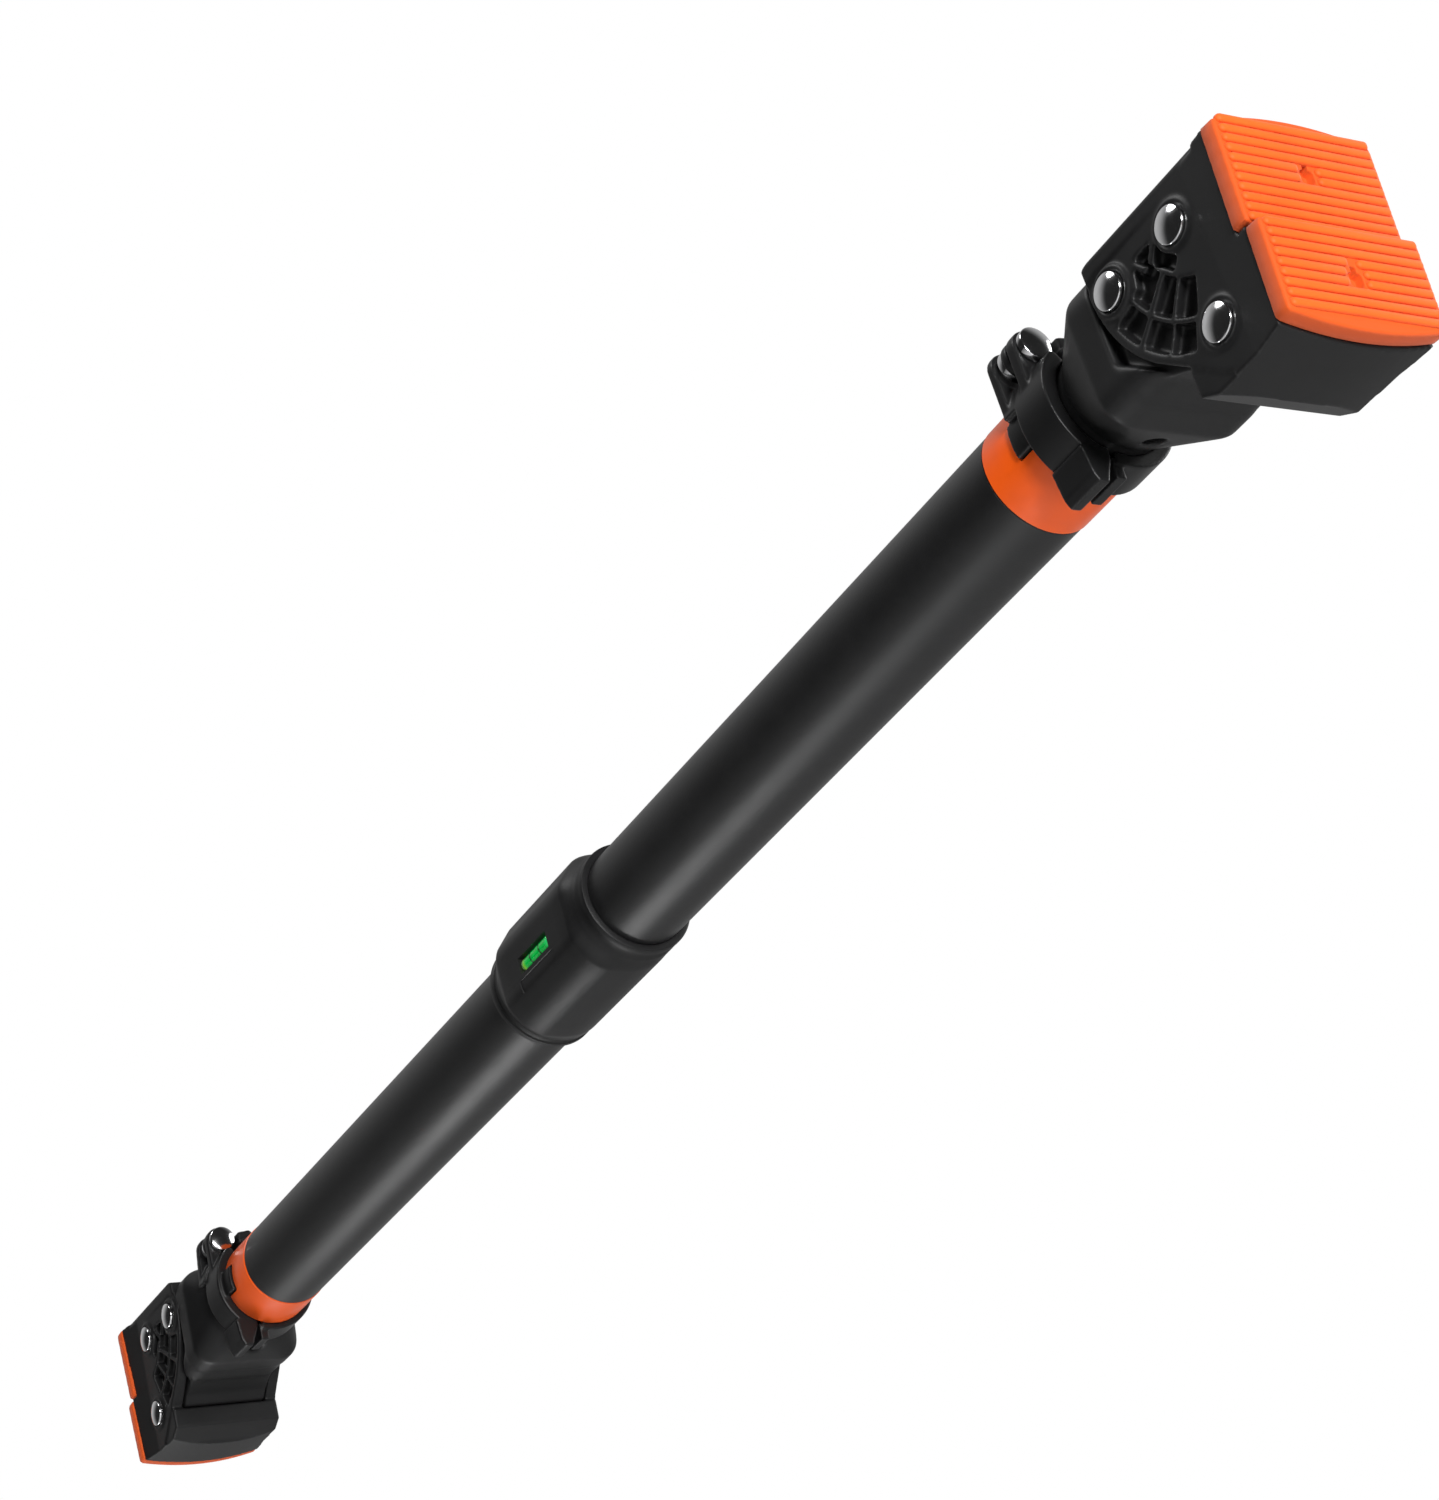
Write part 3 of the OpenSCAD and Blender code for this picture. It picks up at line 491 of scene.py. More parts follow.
def green_liquid(name, colour):
    """Green alcohol, even and deep along the vial, with painted light: yellower where light pools
    at its left end, a brighter painted highlight at its right end, and a faint painted glow from
    emission.
    """
    # Painted glow: the liquid emits light though it is no lamp
    s = Shade(name, IOR=1.36, Roughness=0.15, Emission_Strength=0.45)
    along = s.node("ShaderNodeSeparateXYZ", {}, s.place, output=0)
    # Painted pool of light: the left end turns yellower
    pool = (along * -1).step(7.0 * MM, 9.6 * MM)
    # Painted highlight: the right end turns a brighter green
    far = along.step(7.2 * MM, 9.4 * MM)
    even = s.mix(s.noise(120, 2) * 0.5, colour, shade_of(colour, 1.3))
    lit = s.mix(far * 0.6, s.mix(pool * 0.8, even, (0.35, 0.62, 0.02)), (0.05, 0.85, 0.25))
    s.set("Base Color", lit)
    # The painted glow takes the same painted colours
    s.set("Emission Color", lit)
    return s.material


def floor_paper(name):
    """Pale studio paper with a very soft mottling."""
    s = Shade(name, Roughness=0.85)
    s.set("Base Color", s.mix(s.noise(3, 2), (0.86, 0.86, 0.86), (0.9, 0.9, 0.9)))
    return s.material


_MATERIALS = {}


def finish(kind):
    """One shared material of each kind, made when it is first asked for."""
    f = bpy.context.scene.bar_finishes
    makers = {
        "coat": lambda: powder_coat("powder_coat", tuple(f.coat)),
        "plastic": lambda: moulded("black_plastic", tuple(f.plastic)),
        "lock": lambda: moulded("lock_plastic", tuple(f.plastic), 0.36, 0.00004, 1.4),
        "ring": lambda: orange_plastic("ring_orange", tuple(f.ring)),
        "pad": lambda: pad_rubber("pad_rubber", tuple(f.pad)),
        "bright": lambda: bright_steel("bright_steel", tuple(f.steel)),
        "steel": lambda: plain_steel("plain_steel", tuple(f.steel)),
        "vial": lambda: clear_vial("vial_clear"),
        "liquid": lambda: green_liquid("level_green", tuple(f.liquid)),
        "backing": lambda: moulded("vial_backing", (0.62, 0.85, 0.55), 0.5, 0.00002, 1.1),
        "line": lambda: moulded("vial_line", (0.01, 0.01, 0.01), 0.4, 0.00001, 1.2),
        "paper": lambda: floor_paper("studio_paper"),
    }
    if kind not in _MATERIALS:
        _MATERIALS[kind] = makers[kind]()
    return _MATERIALS[kind]


# ---------------------------------------------------------------- the bar

def tube_shape(x0, x1, r_out, r_in, chamfer):
    """Hollow tube: a closed profile with a chamfer at each lip, turned about the bar's axis."""
    c = chamfer
    profile = [(x0, r_in + c), (x0, r_out - c), (x0 + c, r_out)]
    profile += [(x, r_out) for x in np.linspace(x0 + 2, x1 - 2, 24)]
    profile += [(x1 - c, r_out), (x1, r_out - c), (x1, r_in + c), (x1 - c, r_in), (x0 + c, r_in)]
    return Shape().grid(turned(profile, 128), closed_rows=True)


def ring_shape(root, end, r_out, r_in, bore, plug_r, plug_x, floor_x, notch_half, notch_x):
    """Castellated ring: a wall profile carried round, whose free edge steps back at two notches.

    A quarter is laid out by height z up to the notch's rounded corner and by angle beyond it, and
    the same columns serve every radius, so that the notch walls are flat and parallel.
    """
    z_in = [0, 2, 4, notch_half - 0.9, notch_half - 0.25, notch_half]
    x_in = [notch_x, notch_x, notch_x, notch_x, notch_x + 0.25, notch_x + 0.9]
    z_out = [notch_half, notch_half + 0.2, notch_half + 0.7]
    x_out = [end - 0.7, end - 0.2, end]
    height = np.array(z_in + z_out)
    sweep = np.linspace(0, 1, 14)[1:]

    def around(radius):
        start = np.arcsin(height / radius)
        quarter = np.concatenate([start, start[-1] + (np.pi / 2 - start[-1]) * sweep])
        half = np.concatenate([quarter, np.pi - quarter[-2::-1]])
        return np.concatenate([half, 2 * np.pi - half[-2:0:-1]])

    edge_x = np.array(x_in + x_out + [end] * len(sweep))
    edge_half = np.concatenate([edge_x, edge_x[-2::-1]])
    edge_all = np.concatenate([edge_half, edge_half[-2:0:-1]])
    soft = 0.35
    rows = [(root + 0.02, r_out - soft, 0), (root + soft, r_out, 0), (root + 6, r_out, 0),
            (-soft, r_out, 1), (-soft * 0.3, r_out - soft * 0.3, 1), (0, r_out - soft, 1),
            (0, r_in + soft, 1), (-soft * 0.3, r_in + soft * 0.3, 1), (-soft, r_in, 1),
            (root + floor_x, r_in, 0), (root + floor_x, bore, 0), (plug_x, bore, 0),
            (plug_x, plug_r, 0), (root + 0.02, plug_r, 0)]
    out = []
    for x, radius, follows in rows:
        t = around(radius)
        px = x + edge_all if follows else np.full_like(t, x)
        out.append(np.stack([px, -radius * np.cos(t), radius * np.sin(t)], axis=-1))
    return Shape().grid(np.array(out), closed_rows=True)


def screw_shape(x0, x1, radius, pitch, depth, plain):
    """Spindle: radius minus a rounded groove that winds with angle, and a plain stretch at its end.

    r(x, t) = radius - depth * (1 - |cos(pi (x / pitch - t / 2 pi))|) where the thread runs.
    """
    thread = np.arange(x0 + 1.2, x1 - plain, pitch / 9)
    x = np.concatenate([[x0, x0 + 0.8], thread, [x1 - plain + 1, x1]])
    t = np.linspace(0, 2 * np.pi, 48, endpoint=False)
    gx, gt = np.meshgrid(x, t, indexing="ij")
    wave = np.abs(np.cos(np.pi * (gx / pitch - gt / (2 * np.pi))))
    fade = np.clip((x1 - plain - gx) / pitch, 0, 1)
    r = radius - depth * (1 - wave) * fade
    r[0] = radius - depth - 0.4
    r[1] = np.minimum(r[1], radius - 0.1)
    p = np.stack([gx, r * np.cos(gt), r * np.sin(gt)], axis=-1)
    return Shape().grid(p)


class PULLUP_OT_tubes(bpy.types.Operator):
    """Build the two coated tubes with their chamfered ends"""
    bl_idname = "pullup.tubes"
    bl_label = "Tubes"

    def execute(self, context):
        sizes = context.scene.bar_sizes
        x0, x1 = span("right_tube", 0)
        for name, side in SIDES:
            shape = tube_shape(x0, x1, TUBE_R, sizes.tube_bore, sizes.tube_chamfer).mirrored(side)
            shape.piece(f"{name}_tube_coated", "bar", "tube_black", finish("coat"), f"{name}_tube")
        return {"FINISHED"}


class PULLUP_OT_rings(bpy.types.Operator):
    """Build the castellated end rings that the locks' teeth drop into"""
    bl_idname = "pullup.rings"
    bl_label = "End rings"

    def execute(self, context):
        wall, plug_gap, notch_deep = 1.6, 1.55, 8
        for name, side in SIDES:
            shape = ring_shape(ROOT_X, RING_END, RING_R, RING_R - wall, bore=12,
                               plug_r=TUBE_R - plug_gap, plug_x=span("right_ring", 0)[0], floor_x=3,
                               notch_half=6, notch_x=RING_END - notch_deep).mirrored(side)
            shape.piece(f"{name}_ring_moulded", "bar", "ring_orange", finish("ring"),
                        f"{name}_ring")
        return {"FINISHED"}


class PULLUP_OT_spindles(bpy.types.Operator):
    """Cut the round thread on the two screw spindles"""
    bl_idname = "pullup.spindles"
    bl_label = "Spindles"

    def execute(self, context):
        sizes = context.scene.bar_sizes
        x0, x1 = span("right_spindle", 0)
        radius = span("right_spindle", 2)[1]
        plain_end = 40
        for name, side in SIDES:
            shape = screw_shape(x0, x1, radius, sizes.thread_pitch, sizes.thread_depth, plain_end)
            shape.mirrored(side).piece(f"{name}_spindle_threaded", f"{name}_head", "steel",
                                       finish("steel"), f"{name}_spindle")
        return {"FINISHED"}


def sleeve_outline(r_round, front):
    """Section of the sleeve's box as (y, z): flat front, chamfer above and below, round behind."""
    corners = [(-front, -11, 2), (-front, 8, 1.5), (-front + 1.2, 11.5, 2), (-14, r_round - 0.3, 3),
               (-9, r_round + 1.5, 4), (2, r_round + 1.1, 8), (10, r_round - 2.1, 6),
               (r_round - 4.5, 12, 6), (r_round, 0, 8), (r_round - 4.5, -12, 6),
               (10, -r_round + 1, 6), (0, -r_round - 1.7, 8), (-13, -r_round - 0.9, 4),
               (-r_round + 3, -r_round + 3, 3)]
    return dense(rounded(corners), 8)


class PULLUP_OT_sleeve(bpy.types.Operator):
    """Mould the sleeve over the joint, with its flat front, rims and the vial's pocket"""
    bl_idname = "pullup.sleeve"
    bl_label = "Centre sleeve"

    def execute(self, context):
        rim = context.scene.bar_sizes.sleeve_rim
        x_end = span("centre_sleeve", 0)[1]
        front = -span("centre_sleeve", 1)[0]
        r_round = TUBE_R + 2.5
        r_bore = TUBE_R + 0.1
        gap = 0.25
        pocket_x = span("level_vial", 0)[1] + gap
        vial_low, vial_high = span("level_vial", 2)
        pocket_low, pocket_high = vial_low - gap, vial_high + gap
        pocket_y = -TUBE_R - 0.5
        plate_low, plate_high, plate_x, plate_deep = -11.6, -7.2, 13.1, 0.3
        # Columns: even steps round the section, and a pair at each wall of the pocket and the plate
        walls = [wall + step for wall, wide in ((pocket_low, 0.12), (pocket_high, 0.12),
                                                (plate_low, 0.1), (plate_high, 0.1))
                 for step in (-wide, wide)]
        even = np.linspace(-np.pi, np.pi, 160, endpoint=False) + 1e-3
        angles = np.sort(np.concatenate([even, np.arctan2(np.array(walls), -front)]))
        box = ray_radius(sleeve_outline(r_round, front), angles)
        # Rows: rim, neck behind the rim, taper up to the box, and pairs at the pocket's walls
        box_end = x_end - 5.2
        inner = [18, plate_x + 0.1, plate_x - 0.14, pocket_x + 0.12, pocket_x - 0.12, 7, 4, 0]
        taper = [(box_end - 7.5 * e, r_round, e * e * (3 - 2 * e)) for e in np.linspace(0.12, 1, 8)]
        r_neck = r_round - 0.45
        rows = [(x_end, r_round - rim, 0), (x_end - rim * 0.3, r_round - rim * 0.3, 0),
                (x_end - rim, r_round, 0), (x_end - 2.2, r_round, 0), (x_end - 2.7, r_neck, 0),
                (box_end, r_neck, 0)] + taper + [(x, r_round, 1) for x in inner]
        rows = rows + [(-x, r, b) for x, r, b in rows[-2::-1]]
        out = []
        for x, r, blend in rows:
            radius = r * (1 - blend) + np.maximum(box, r_round - 0.9) * blend
            y, z = radius * np.cos(angles), radius * np.sin(angles)
            if abs(x) < pocket_x:
                y = np.where((y < 0) & (z > pocket_low) & (z < pocket_high), pocket_y, y)
            if abs(x) < plate_x:
                on_plate = (y < -front + 1.5) & (z > plate_low) & (z < plate_high)
                y = np.where(on_plate, y + plate_deep, y)
            out.append(np.stack([np.full_like(y, x), y, z], axis=-1))
        for x in np.linspace(-x_end, x_end, 9):
            out.append(np.stack([np.full_like(angles, x), r_bore * np.cos(angles),
                                 r_bore * np.sin(angles)], axis=-1))
        shape = Shape().grid(np.array(out), closed_rows=True)
        shape.piece("centre_sleeve_moulded", "bar", "black_plastic", finish("plastic"),
                    "centre_sleeve")
        return {"FINISHED"}


def pill(half_len, radius, y, z, back, n=40):
    """A rod with rounded ends along x, flat behind: y is kept in front of the back plane."""
    end, straight = radius * 0.35, half_len - radius * 0.4
    profile = [(-half_len, 0.02)] + bend(-half_len + end, 0, end, radius, 170, 95, 6)
    profile += [(x, radius) for x in np.linspace(-straight, straight, 12)]
    profile += bend(half_len - end, 0, end, radius, 85, 10, 6) + [(half_len, 0.02)]
    p = turned(profile, n, (0, y, z))
    p[..., 1] = np.minimum(p[..., 1], back)
    return p


class PULLUP_OT_level(bpy.types.Operator):
    """Fill the level vial with its green liquid, and draw its two lines"""
    bl_idname = "pullup.level"
    bl_label = "Level vial"

    def execute(self, context):
        half = span("level_vial", 0)[1]
        low, high = span("level_vial", 2)
        front, back = span("level_vial", 1)
        radius, z = (high - low) / 2, (high + low) / 2
        y = front + radius
        Shape().grid(pill(half, radius, y, z, back)).piece(
            "level_vial_clear", "bar", "vial_clear", finish("vial"), "level_vial")
        end_wall, side_wall = 0.8, 0.6
        Shape().grid(pill(half - end_wall, radius - side_wall, y, z, back - 0.3)).piece(
            "level_liquid_green", "bar", "vial_green", finish("liquid"), "level_liquid")
        # Each line is a thin band round the front of the vial, between the wall's two faces
        line_x, line_half, line_thick = 3.4, 0.28, 0.25
        t = np.linspace(-1.25, 1.25, 15)
        arc_y, arc_z = y - (radius - 0.3) * np.cos(t), z + (radius - 0.3) * np.sin(t)
        band = np.stack([arc_y, arc_z], axis=1)
        inner = np.stack([arc_y + line_thick * np.cos(t), arc_z - line_thick * np.sin(t)], axis=1)
        loop = np.concatenate([band, inner[::-1]])
        lines = Shape()
        for x in (-line_x, line_x):
            lines.grid(slab(loop, x - line_half, x + line_half, 0.02))
        lines.piece("level_lines", "bar", "vial_back", finish("line"))
        backing = frame["nodes"]["level_backing"]
        backing.data.materials.clear()
        backing.data.materials.append(finish("backing"))
        return {"FINISHED"}


# ---------------------------------------------------------------- the heads

class PULLUP_OT_heads(bpy.types.Operator):
    """Give the necks, the riveted shells and the locks their smooth moulded skins"""
    bl_idname = "pullup.heads"
    bl_label = "Heads and locks"

    def execute(self, context):
        sizes = context.scene.head_sizes
        for name, side in SIDES:
            head, lock = f"{name}_head", f"{name}_lock"
            bosses = rivet_bosses().mirrored(side)
            skins = (("neck", head, "plastic", sizes.skin, 30, None),
                     ("shell", head, "plastic", sizes.skin, 3, bosses),
                     ("keeper", head, "lock", sizes.lock_skin, 16, None),
                     ("gate", lock, "lock", sizes.lock_skin, 16, None))
            for part, body, kind, voxel, passes, extra in skins:
                moulded_skin(f"{name}_{part}_moulded", f"{name}_{part}", body, finish(kind),
                             voxel, passes, extra)
        return {"FINISHED"}


def rivet_bosses():
    """Raised collars round the three rivets: rings of a rounded section, half sunk in the face."""
    radius, proud, half_wide = 6.55, 0.55, 0.75
    face = RIVET_OUT - RIVET_HIGH + 0.05
    t = np.linspace(0, 2 * np.pi, 16, endpoint=False)
    bosses = Shape()
    for x, z in rivet_spots():
        for side in (-1, 1):
            section = [(side * (face + proud * math.sin(a)), radius + half_wide * math.cos(a))
                       for a in t]
            ring = turned(section, 64, (x, 0, z), "y")
            bosses.grid(ring if side > 0 else ring[::-1], closed_rows=True)
    return bosses


def dome(radius, height, rim, start, sign=1):
    """Profile of a flat-domed head: a straight rim with a rolled edge, then a cap down to the axis.

    The cap is an arc of radius (w^2 + h^2) / 2h, with w its half width and h its rise.
    """
    roll = 0.5
    wide, rise = radius - roll * 0.6, height - rim - roll * 0.4
    cap = (wide ** 2 + rise ** 2) / (2 * rise)
    top = np.linspace(math.asin(wide / cap), 0.02, 9)
    points = [(0, radius - 0.15), (0.15, radius), (rim - 0.1, radius),
              (rim + roll * 0.2, radius - roll * 0.2)]
    points += [(height - cap + cap * math.cos(a), cap * math.sin(a)) for a in top]
    return [(start + sign * rise, r) for rise, r in points]


def headed(low, high, shank, radius, height, rim):
    """Profile of a pin with a flat-domed head at each end of its shank, from low to high."""
    return (dome(radius, height, rim, low, -1)[::-1] + [(low, shank), (high, shank)]
            + dome(radius, height, rim, high))


class PULLUP_OT_pins(bpy.types.Operator):
    """Turn the domed rivets and hinge pins"""
    bl_idname = "pullup.pins"
    bl_label = "Rivets and hinge pins"

    def execute(self, context):
        face, rivet_shank, pin_shank = RIVET_OUT - RIVET_HIGH, 3, 2.5
        for name, side in SIDES:
            rivets = Shape()
            for x, z in rivet_spots():
                profile = headed(-face, face, rivet_shank, 5.4, 2.5, 1.3)
                rivets.grid(turned(profile, 56, (x, 0, z), "y"))
            rivets.mirrored(side).piece(f"{name}_rivets_domed", f"{name}_head", "bright_steel",
                                        finish("bright"), f"{name}_rivets")
            node = f"{name}_hinge_pin"
            (inner, outer), across, upright = (span(node, axis) for axis in range(3))
            centre = (0, sum(across) / 2, sum(upright) / 2)
            radius = (across[1] - across[0]) / 2
            profile = headed(inner + PIN_HIGH, outer - PIN_HIGH, pin_shank, radius, PIN_HIGH, 2.1)
            pin = Shape().grid(turned(profile, 56, centre))
            pin.piece(f"{name}_hinge_pin_domed", f"{name}_head", "bright_steel",
                      finish("bright"), node)
        return {"FINISHED"}


def rivet_spots():
    """Centres of the three rivets (x, z) on the right head, from the CAD node's loose parts."""
    mesh = frame["nodes"]["right_rivets"].data
    co = np.empty(len(mesh.vertices) * 3)
    mesh.vertices.foreach_get("co", co)
    co = co.reshape(-1, 3) / MM
    low = co[:, 2] < co[:, 2].mean() - 12
    far = (~low) & (co[:, 0] > (co[~low, 0].min() + co[~low, 0].max()) / 2)
    near = (~low) & ~far
    return [tuple((co[keep].min(0) + co[keep].max(0))[[0, 2]] / 2) for keep in (near, far, low)]


# ---------------------------------------------------------------- the pads

def pad_axes(mount):
    """Origin on the ribs' crest plane, the outward normal and the upward direction of a pad."""
    m = MOUNTS[mount]
    out = np.array(m["axis"], float)
    up = np.cross(out, [0, 1, 0])
    if up[2] < 0:
        up = -up
    return np.array(m["pos_m"], float) / MM, out / np.linalg.norm(out), up / np.linalg.norm(up)


def pad_shape(half_w, low, high, bows, sizes, face, crest, base, ribs):
    """Pad in its own axes (out, y, up): a slab with a screw recess, and rows of round-ended ribs.

    Face, crest and base are the heights of the slab's face, the ribs' tops and the slab's back.
    The slab is a set of rings from the recess's floor, up its wall, out over the face and down the
    rim; each ring's radius at angle t goes from the recess outline to the arched outline.
    """
    y = np.linspace(-half_w, half_w, 25)
    bow = (y / half_w) ** 2
    corners = [(a, low + bows[0] * b, 0) for a, b in zip(y, bow)]
    corners += [(a, high - bows[1] * b, 0) for a, b in zip(y[::-1], bow[::-1])]
    for k in (0, 24, 25, 49):
        corners[k] = (corners[k][0], corners[k][1], 2.2)
    outline = rounded(corners, 5)
    mid = np.array([0, (low + high) / 2])
    angles = np.linspace(-np.pi, np.pi, 160, endpoint=False)
    rim, hole = sizes.pad_round, sizes.recess
    # Recess: a round well with a short notch above it
    slot = dense(rounded([(-hole, -hole, hole * 0.95), (hole, -hole, hole * 0.95),
                          (hole, hole * 0.8, hole * 0.6), (hole * 0.4, hole, 0.2),
                          (hole * 0.4, hole * 1.7, 0.5), (-hole * 0.4, hole * 1.7, 0.5),
                          (-hole * 0.4, hole, 0.2), (-hole, hole * 0.8, hole * 0.6)], 7), 6)
    inner = ray_radius(slot, angles)
    rings = []

    def ring(radius, height):
        rings.append(np.stack([np.full_like(angles, height), mid[0] + radius * np.cos(angles),
                               mid[1] + radius * np.sin(angles)], axis=-1))

    def outer(shrink):
        shape = dense(inset(outline, shrink), 6) - mid
        return ray_radius(shape, angles)

    well_deep, lip = 2.6, 0.35
    ring(inner * 0.02, face - well_deep)
    ring(inner - 0.25, face - well_deep)
    ring(inner, face - well_deep + 0.3)
    ring(inner, face - 0.3)
    ring(inner + 0.1, face - 0.1)
    ring(inner + lip, face)
    wide = outer(rim)
    for e in (0.25, 0.5, 0.75, 1.0):
        ring((inner + lip) * (1 - e) + wide * e, face)
    for a in np.linspace(0, np.pi / 2, 6)[1:]:
        ring(outer(rim * (1 - math.sin(a))), face - rim * (1 - math.cos(a)))
    ring(outer(0), base + 0.3)
    ring(outer(0.3), base)
    shape = Shape().grid(np.array(rings))
    # A rib ends just inside the slab's rim, is sunk a little in its face, and a rib that would
    # cross the recess is made as two
    reach, sunk, half_rib = half_w - 0.9, 0.4, sizes.rib_pitch * 0.45
    for z in ribs:
        above = z - mid[1]
        crosses = abs(above) < hole + 0.9 or 0 < above < hole * 1.7 + 0.9
        gap = (hole if above < hole + 0.5 else hole * 0.4) + 0.5
        for a, b in [(-reach, -gap), (gap, reach)] if crosses else [(-reach, reach)]:
            shape.grid(rib(a, b, z, half_rib, face - sunk, crest - face + sunk))
    return shape


def rib(a, b, z, half, base, height):
    """A rib along y from a to b with rounded ends: its section is a raised, flattened half-ellipse.

    At the end caps both the width and the height shrink by a quarter-circle, sqrt(1 - s^2).
    """
    s = np.sin(np.linspace(0, np.pi / 2, 6))
    ends = half * 1.15
    y = np.concatenate([a + ends - ends * s[::-1], b - ends + ends * s])
    size = np.sqrt(np.clip(1 - np.concatenate([s[::-1], s]) ** 2, 0.0004, 1))
    t = np.linspace(0, 2 * np.pi, 16, endpoint=False)
    wide = np.sign(np.cos(t)) * np.abs(np.cos(t)) ** 0.75
    tall = np.clip(np.abs(np.sin(t)) ** 0.55, 0, 1) * np.where(np.sin(t) > 0, 1, -0.15)
    gy = y[:, None] + 0 * t
    gz = z + half * size[:, None] * wide
    gh = base + height * np.where(tall > 0, size[:, None] * tall, tall)
    return np.stack([gh, gy, gz], axis=-1)


class PULLUP_OT_pads(bpy.types.Operator):
    """Mould the ribbed rubber pads, with their screw recesses and smooth bands"""
    bl_idname = "pullup.pads"
    bl_label = "Pads"

    def execute(self, context):
        sizes = context.scene.head_sizes
        material = finish("pad")
        half_w = span("right_lower_pad", 1)[1]
        pitch = sizes.rib_pitch
        crest, face, base = 0.0, -1.1, -6.45
        bow, side_gap = 3.3, 0.35
        for name, side in SIDES:
            for level in ("upper", "lower"):
                node = f"right_{level}_pad"
                origin, out, up = pad_axes(f"right_{level}_face")
                low, high = span(node, 2)
                z0 = (low - origin[2]) / up[2]
                z1 = (high - origin[2]) / up[2]
                # Ribs start at the joint of the two pads and end short of the arched edge
                if level == "upper":
                    z0, z1, bows = z0 + 0.3, z1 - 0.25, (0, bow)
                    ribs = np.arange(z0 + pitch / 2, z1 - 1.2, pitch)
                else:
                    z0, z1, bows = z0 + 0.35, z1 - 0.75, (bow, 0)
                    ribs = np.arange(z1 - pitch / 2, z0 + 4.8, -pitch)
                shape = pad_shape(half_w - side_gap, z0, z1, bows, sizes, face, crest, base, ribs)
                local = np.concatenate(shape.points)
                shape.points = [origin + local[:, :1] * out + local[:, 1:2] * [0, 1, 0]
                                + local[:, 2:] * up]
                pad = shape.mirrored(side).piece(f"{name}_{level}_pad_ribbed", f"{name}_head",
                                                 "pad_orange", material, f"{name}_{level}_pad",
                                                 sharp=50)
                # The 'groove' attribute carries the painted shade between the ribs
                mark_groove_shade(pad, origin * [side, 1, 1], out * [side, 1, 1], face)
        return {"FINISHED"}


def mark_groove_shade(pad, origin, out, face):
    """Attribute 'groove' for the pads' painted shade: 1 on the floor between the ribs and below,
    falling to 0 at the crests.
    """
    mesh = pad.data
    co = np.empty(len(mesh.vertices) * 3)
    mesh.vertices.foreach_get("co", co)
    depth = (co.reshape(-1, 3) / MM - origin) @ out
    value = np.clip(-depth / -face, 0, 1) ** 1.5
    field = mesh.attributes.new("groove", "FLOAT", "POINT")
    field.data.foreach_set("value", value.astype(np.float32))


class PULLUP_OT_pad_screws(bpy.types.Operator):
    """Set a cross-recessed screw at the bottom of each pad's recess"""
    bl_idname = "pullup.pad_screws"
    bl_label = "Pad screws"

    def execute(self, context):
        # Shank, then the head's seat, side and flat top, as (outward, radius)
        profile = [(-9.0, 2), (-4.0, 2), (-4.0, 3.45), (-3.3, 3.5), (-2.9, 3.2), (-2.6, 2.4),
                   (-2.5, 1.6), (-2.5, 0.8), (-2.5, 0.05)]
        cross_half, cross_reach, cross_deep = 0.45, 2, 0.8
        along, radius = np.array(profile).T[:, :, None]
        p = turned(profile, 48)
        cross = np.minimum(np.abs(p[..., 1]), np.abs(p[..., 2])) < cross_half
        deep = cross & (along > -2.7) & (radius < cross_reach)
        p[..., 0] -= np.where(deep, cross_deep, 0)
        for name, side in SIDES:
            shape = Shape()
            for level in ("upper", "lower"):
                origin, out, up = pad_axes(f"right_{level}_face")
                shape.grid(origin + p[..., :1] * out + p[..., 1:2] * [0, 1, 0] + p[..., 2:] * up)
            shape.mirrored(side).piece(f"{name}_pad_screws_cross", f"{name}_head", "bright_steel",
                                       finish("bright"), f"{name}_pad_screws")
        return {"FINISHED"}


class PULLUP_OT_inner_parts(bpy.types.Operator):
    """Give the parts inside the bar and the heads their steel finish"""
    bl_idname = "pullup.inner_parts"
    bl_label = "Inner parts"

    def execute(self, context):
        names = ["joiner_tube", "joiner_screws"]
        for name, _ in SIDES:
            names += [f"{name}_nut", f"{name}_cross_pin", f"{name}_core_plate"]
        for node in names:
            mesh = frame["nodes"][node].data
            mesh.materials.clear()
            mesh.materials.append(finish("steel"))
        return {"FINISHED"}


# ---------------------------------------------------------------- studio

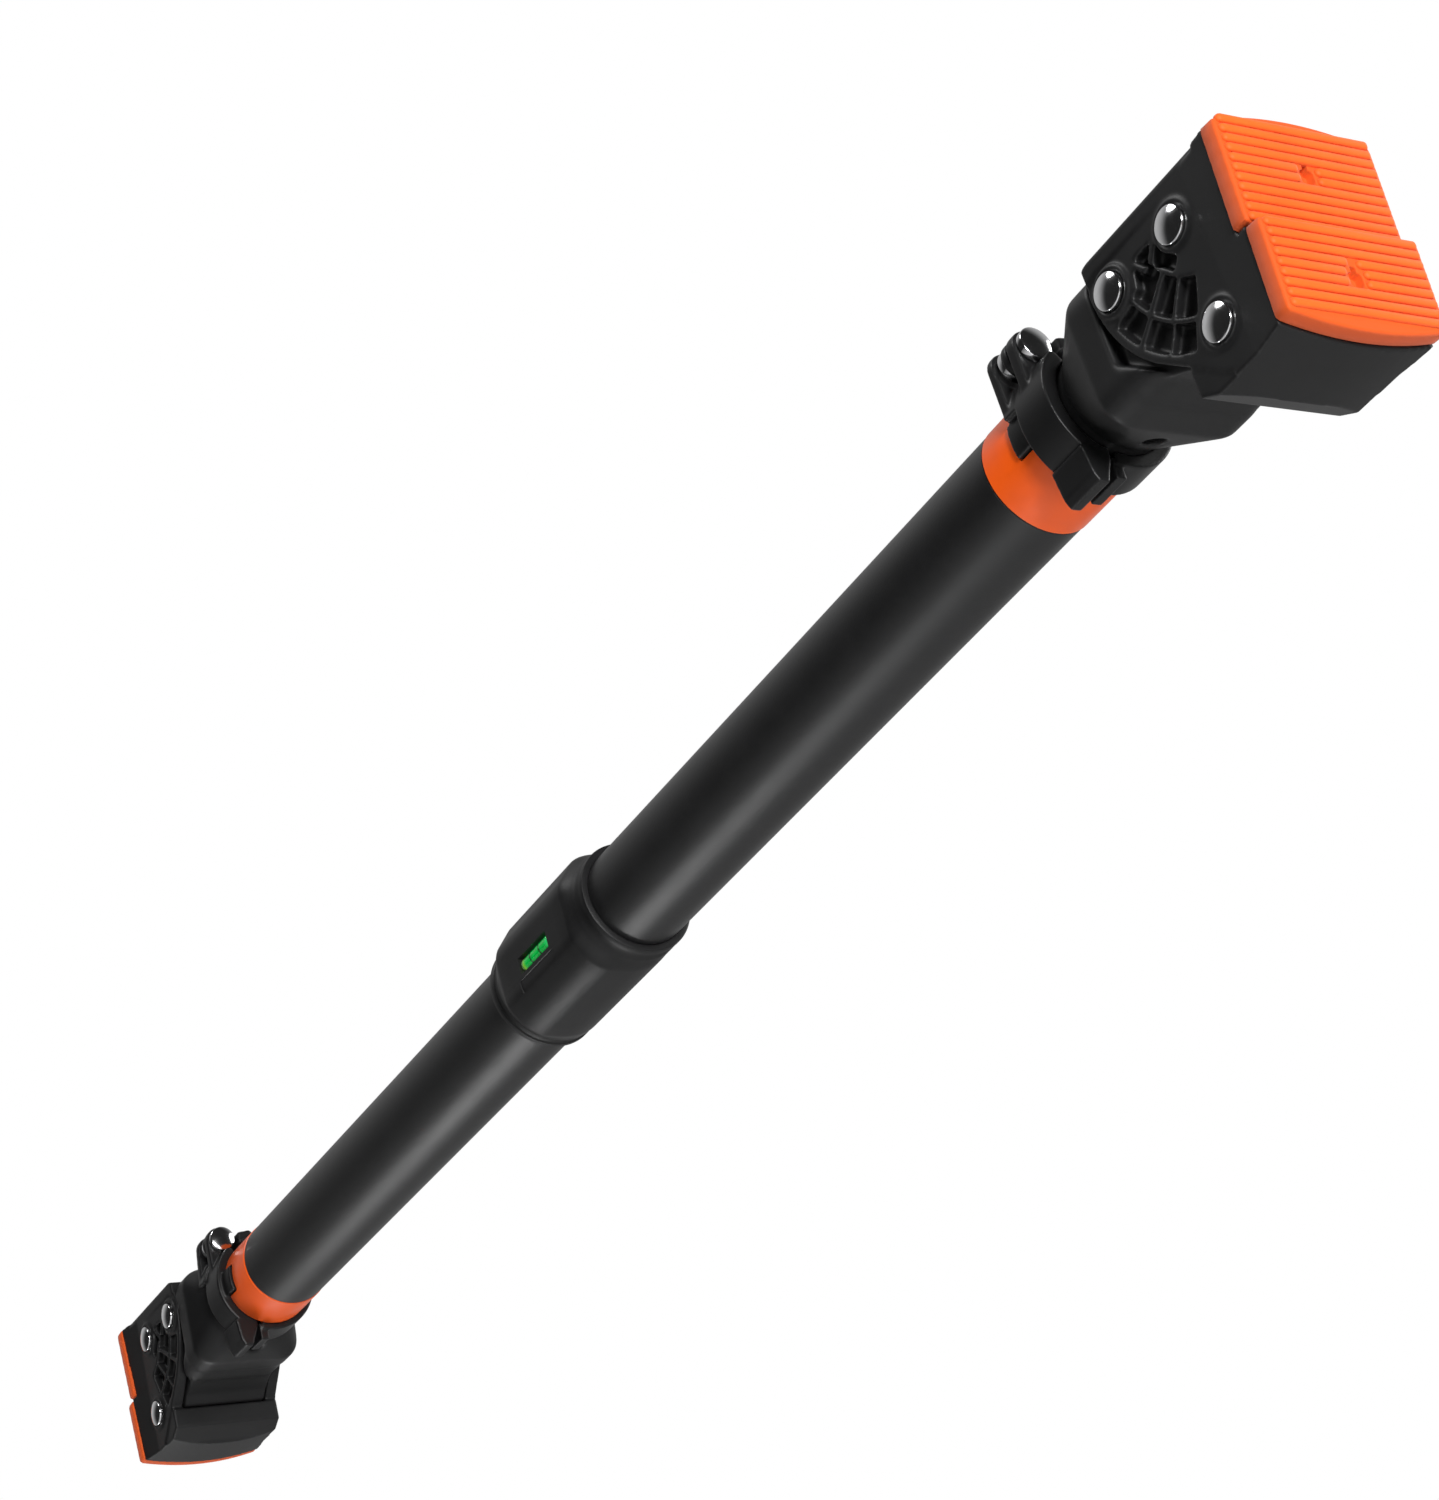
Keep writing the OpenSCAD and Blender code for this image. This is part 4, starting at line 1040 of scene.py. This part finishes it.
class PULLUP_OT_stage(bpy.types.Operator):
    """Set the pale floor, the soft lights and the camera"""
    bl_idname = "pullup.stage"
    bl_label = "Stage"

    def execute(self, context):
        scene = context.scene
        half, depth = 6.0, -0.9
        mesh = bpy.data.meshes.new("studio_floor")
        t = np.linspace(0, 2 * np.pi, 64, endpoint=False)
        ring = np.stack([half * np.cos(t), half * np.sin(t), np.full_like(t, depth)], axis=1)
        mesh.from_pydata(ring.tolist(), [], [list(range(64))])
        mesh.materials.append(finish("paper"))
        floor = bpy.data.objects.new("studio_floor", mesh)
        scene.collection.objects.link(floor)

        world = bpy.data.worlds.new("studio_world")
        scene.world = world
        world.use_nodes = True
        scene.view_settings.view_transform = "Standard"
        nodes, links = world.node_tree.nodes, world.node_tree.links
        background = nodes["Background"]
        background.inputs["Color"].default_value = (1, 1, 1, 1)
        # A pale wall behind and above the bar, a dim room in front, and white to the camera
        toward = nodes.new("ShaderNodeVectorMath")
        toward.operation = "DOT_PRODUCT"
        toward.inputs[1].default_value = (-0.713, 0.540, 0.446)
        links.new(nodes.new("ShaderNodeTexCoord").outputs["Generated"], toward.inputs[0])
        wall = nodes.new("ShaderNodeMapRange")
        wall.interpolation_type = "SMOOTHSTEP"
        for socket, value in (("From Min", 0.15), ("From Max", 0.75),
                              ("To Min", 0.02), ("To Max", 0.5)):
            wall.inputs[socket].default_value = value
        links.new(toward.outputs["Value"], wall.inputs["Value"])
        seen = nodes.new("ShaderNodeMath")
        seen.operation = "MAXIMUM"
        links.new(nodes.new("ShaderNodeLightPath").outputs["Is Camera Ray"], seen.inputs[0])
        links.new(wall.outputs["Result"], seen.inputs[1])
        links.new(seen.outputs[0], background.inputs["Strength"])
        lamps = (
            ("pads", (1.9, -0.55, 0.0), (0.42, 0, 0), 0.6, 36),
            ("under", (-0.75, -0.10, -1.05), (0, 0, 0), 0.9, 26),
            ("over", (0.1, -0.9, 1.6), (0, 0, 0), 0.8, 13),
            ("back", (0.5, 1.5, 0.5), (0, 0, 0), 1.0, 10),
        )
        for name, spot, aim, size, power in lamps:
            light = bpy.data.lights.new(name, "AREA")
            light.shape = "DISK"
            light.size = size
            light.energy = power
            lamp = bpy.data.objects.new(name, light)
            lamp.location = spot
            lamp.rotation_euler = (Vector(aim) - Vector(spot)).to_track_quat("-Z", "Y").to_euler()
            scene.collection.objects.link(lamp)

        camera = bpy.data.cameras.new("camera")
        camera.lens = 70.92
        camera.sensor_width = 36
        view = bpy.data.objects.new("camera", camera)
        right = Vector((0.47823, 0.84081, -0.25363))
        down = Vector((-0.51222, 0.03245, -0.85824))
        forward = Vector((-0.71339, 0.54036, 0.44619))
        turn = Matrix((right, -down, -forward)).transposed()
        view.matrix_world = Matrix.Translation((0.80974, -0.53224, -0.42173)) @ turn.to_4x4()
        scene.collection.objects.link(view)
        scene.camera = view
        return {"FINISHED"}


class PULLUP_PT_panel(bpy.types.Panel):
    """Lists the build steps in the 3D view's sidebar"""
    bl_label = "Pull Up Bar"
    bl_space_type = "VIEW_3D"
    bl_region_type = "UI"
    bl_category = "Pull Up Bar"

    def draw(self, context):
        for step in STEPS:
            self.layout.operator(step.bl_idname)
        for group in ("bar_sizes", "head_sizes", "bar_finishes"):
            owner = getattr(context.scene, group)
            for prop in owner.bl_rna.properties:
                if prop.identifier not in ("rna_type", "name"):
                    self.layout.prop(owner, prop.identifier)


STEPS = (PULLUP_OT_stage, PULLUP_OT_tubes, PULLUP_OT_rings, PULLUP_OT_spindles, PULLUP_OT_sleeve,
         PULLUP_OT_level, PULLUP_OT_heads, PULLUP_OT_pins, PULLUP_OT_pads, PULLUP_OT_pad_screws,
         PULLUP_OT_inner_parts)
GROUPS = (("bar_sizes", BarSizes), ("head_sizes", HeadSizes), ("bar_finishes", Finishes))


def register():
    for name, group in GROUPS:
        bpy.utils.register_class(group)
        setattr(bpy.types.Scene, name, PointerProperty(type=group))
    for cls in STEPS + (PULLUP_PT_panel,):
        bpy.utils.register_class(cls)


def unregister():
    for cls in (PULLUP_PT_panel,) + STEPS[::-1]:
        bpy.utils.unregister_class(cls)
    for name, group in GROUPS:
        delattr(bpy.types.Scene, name)
        bpy.utils.unregister_class(group)


def main():
    register()
    for step in STEPS:
        area, verb = step.bl_idname.split(".")
        getattr(getattr(bpy.ops, area), verb)()


if __name__ == "__main__":
    main()
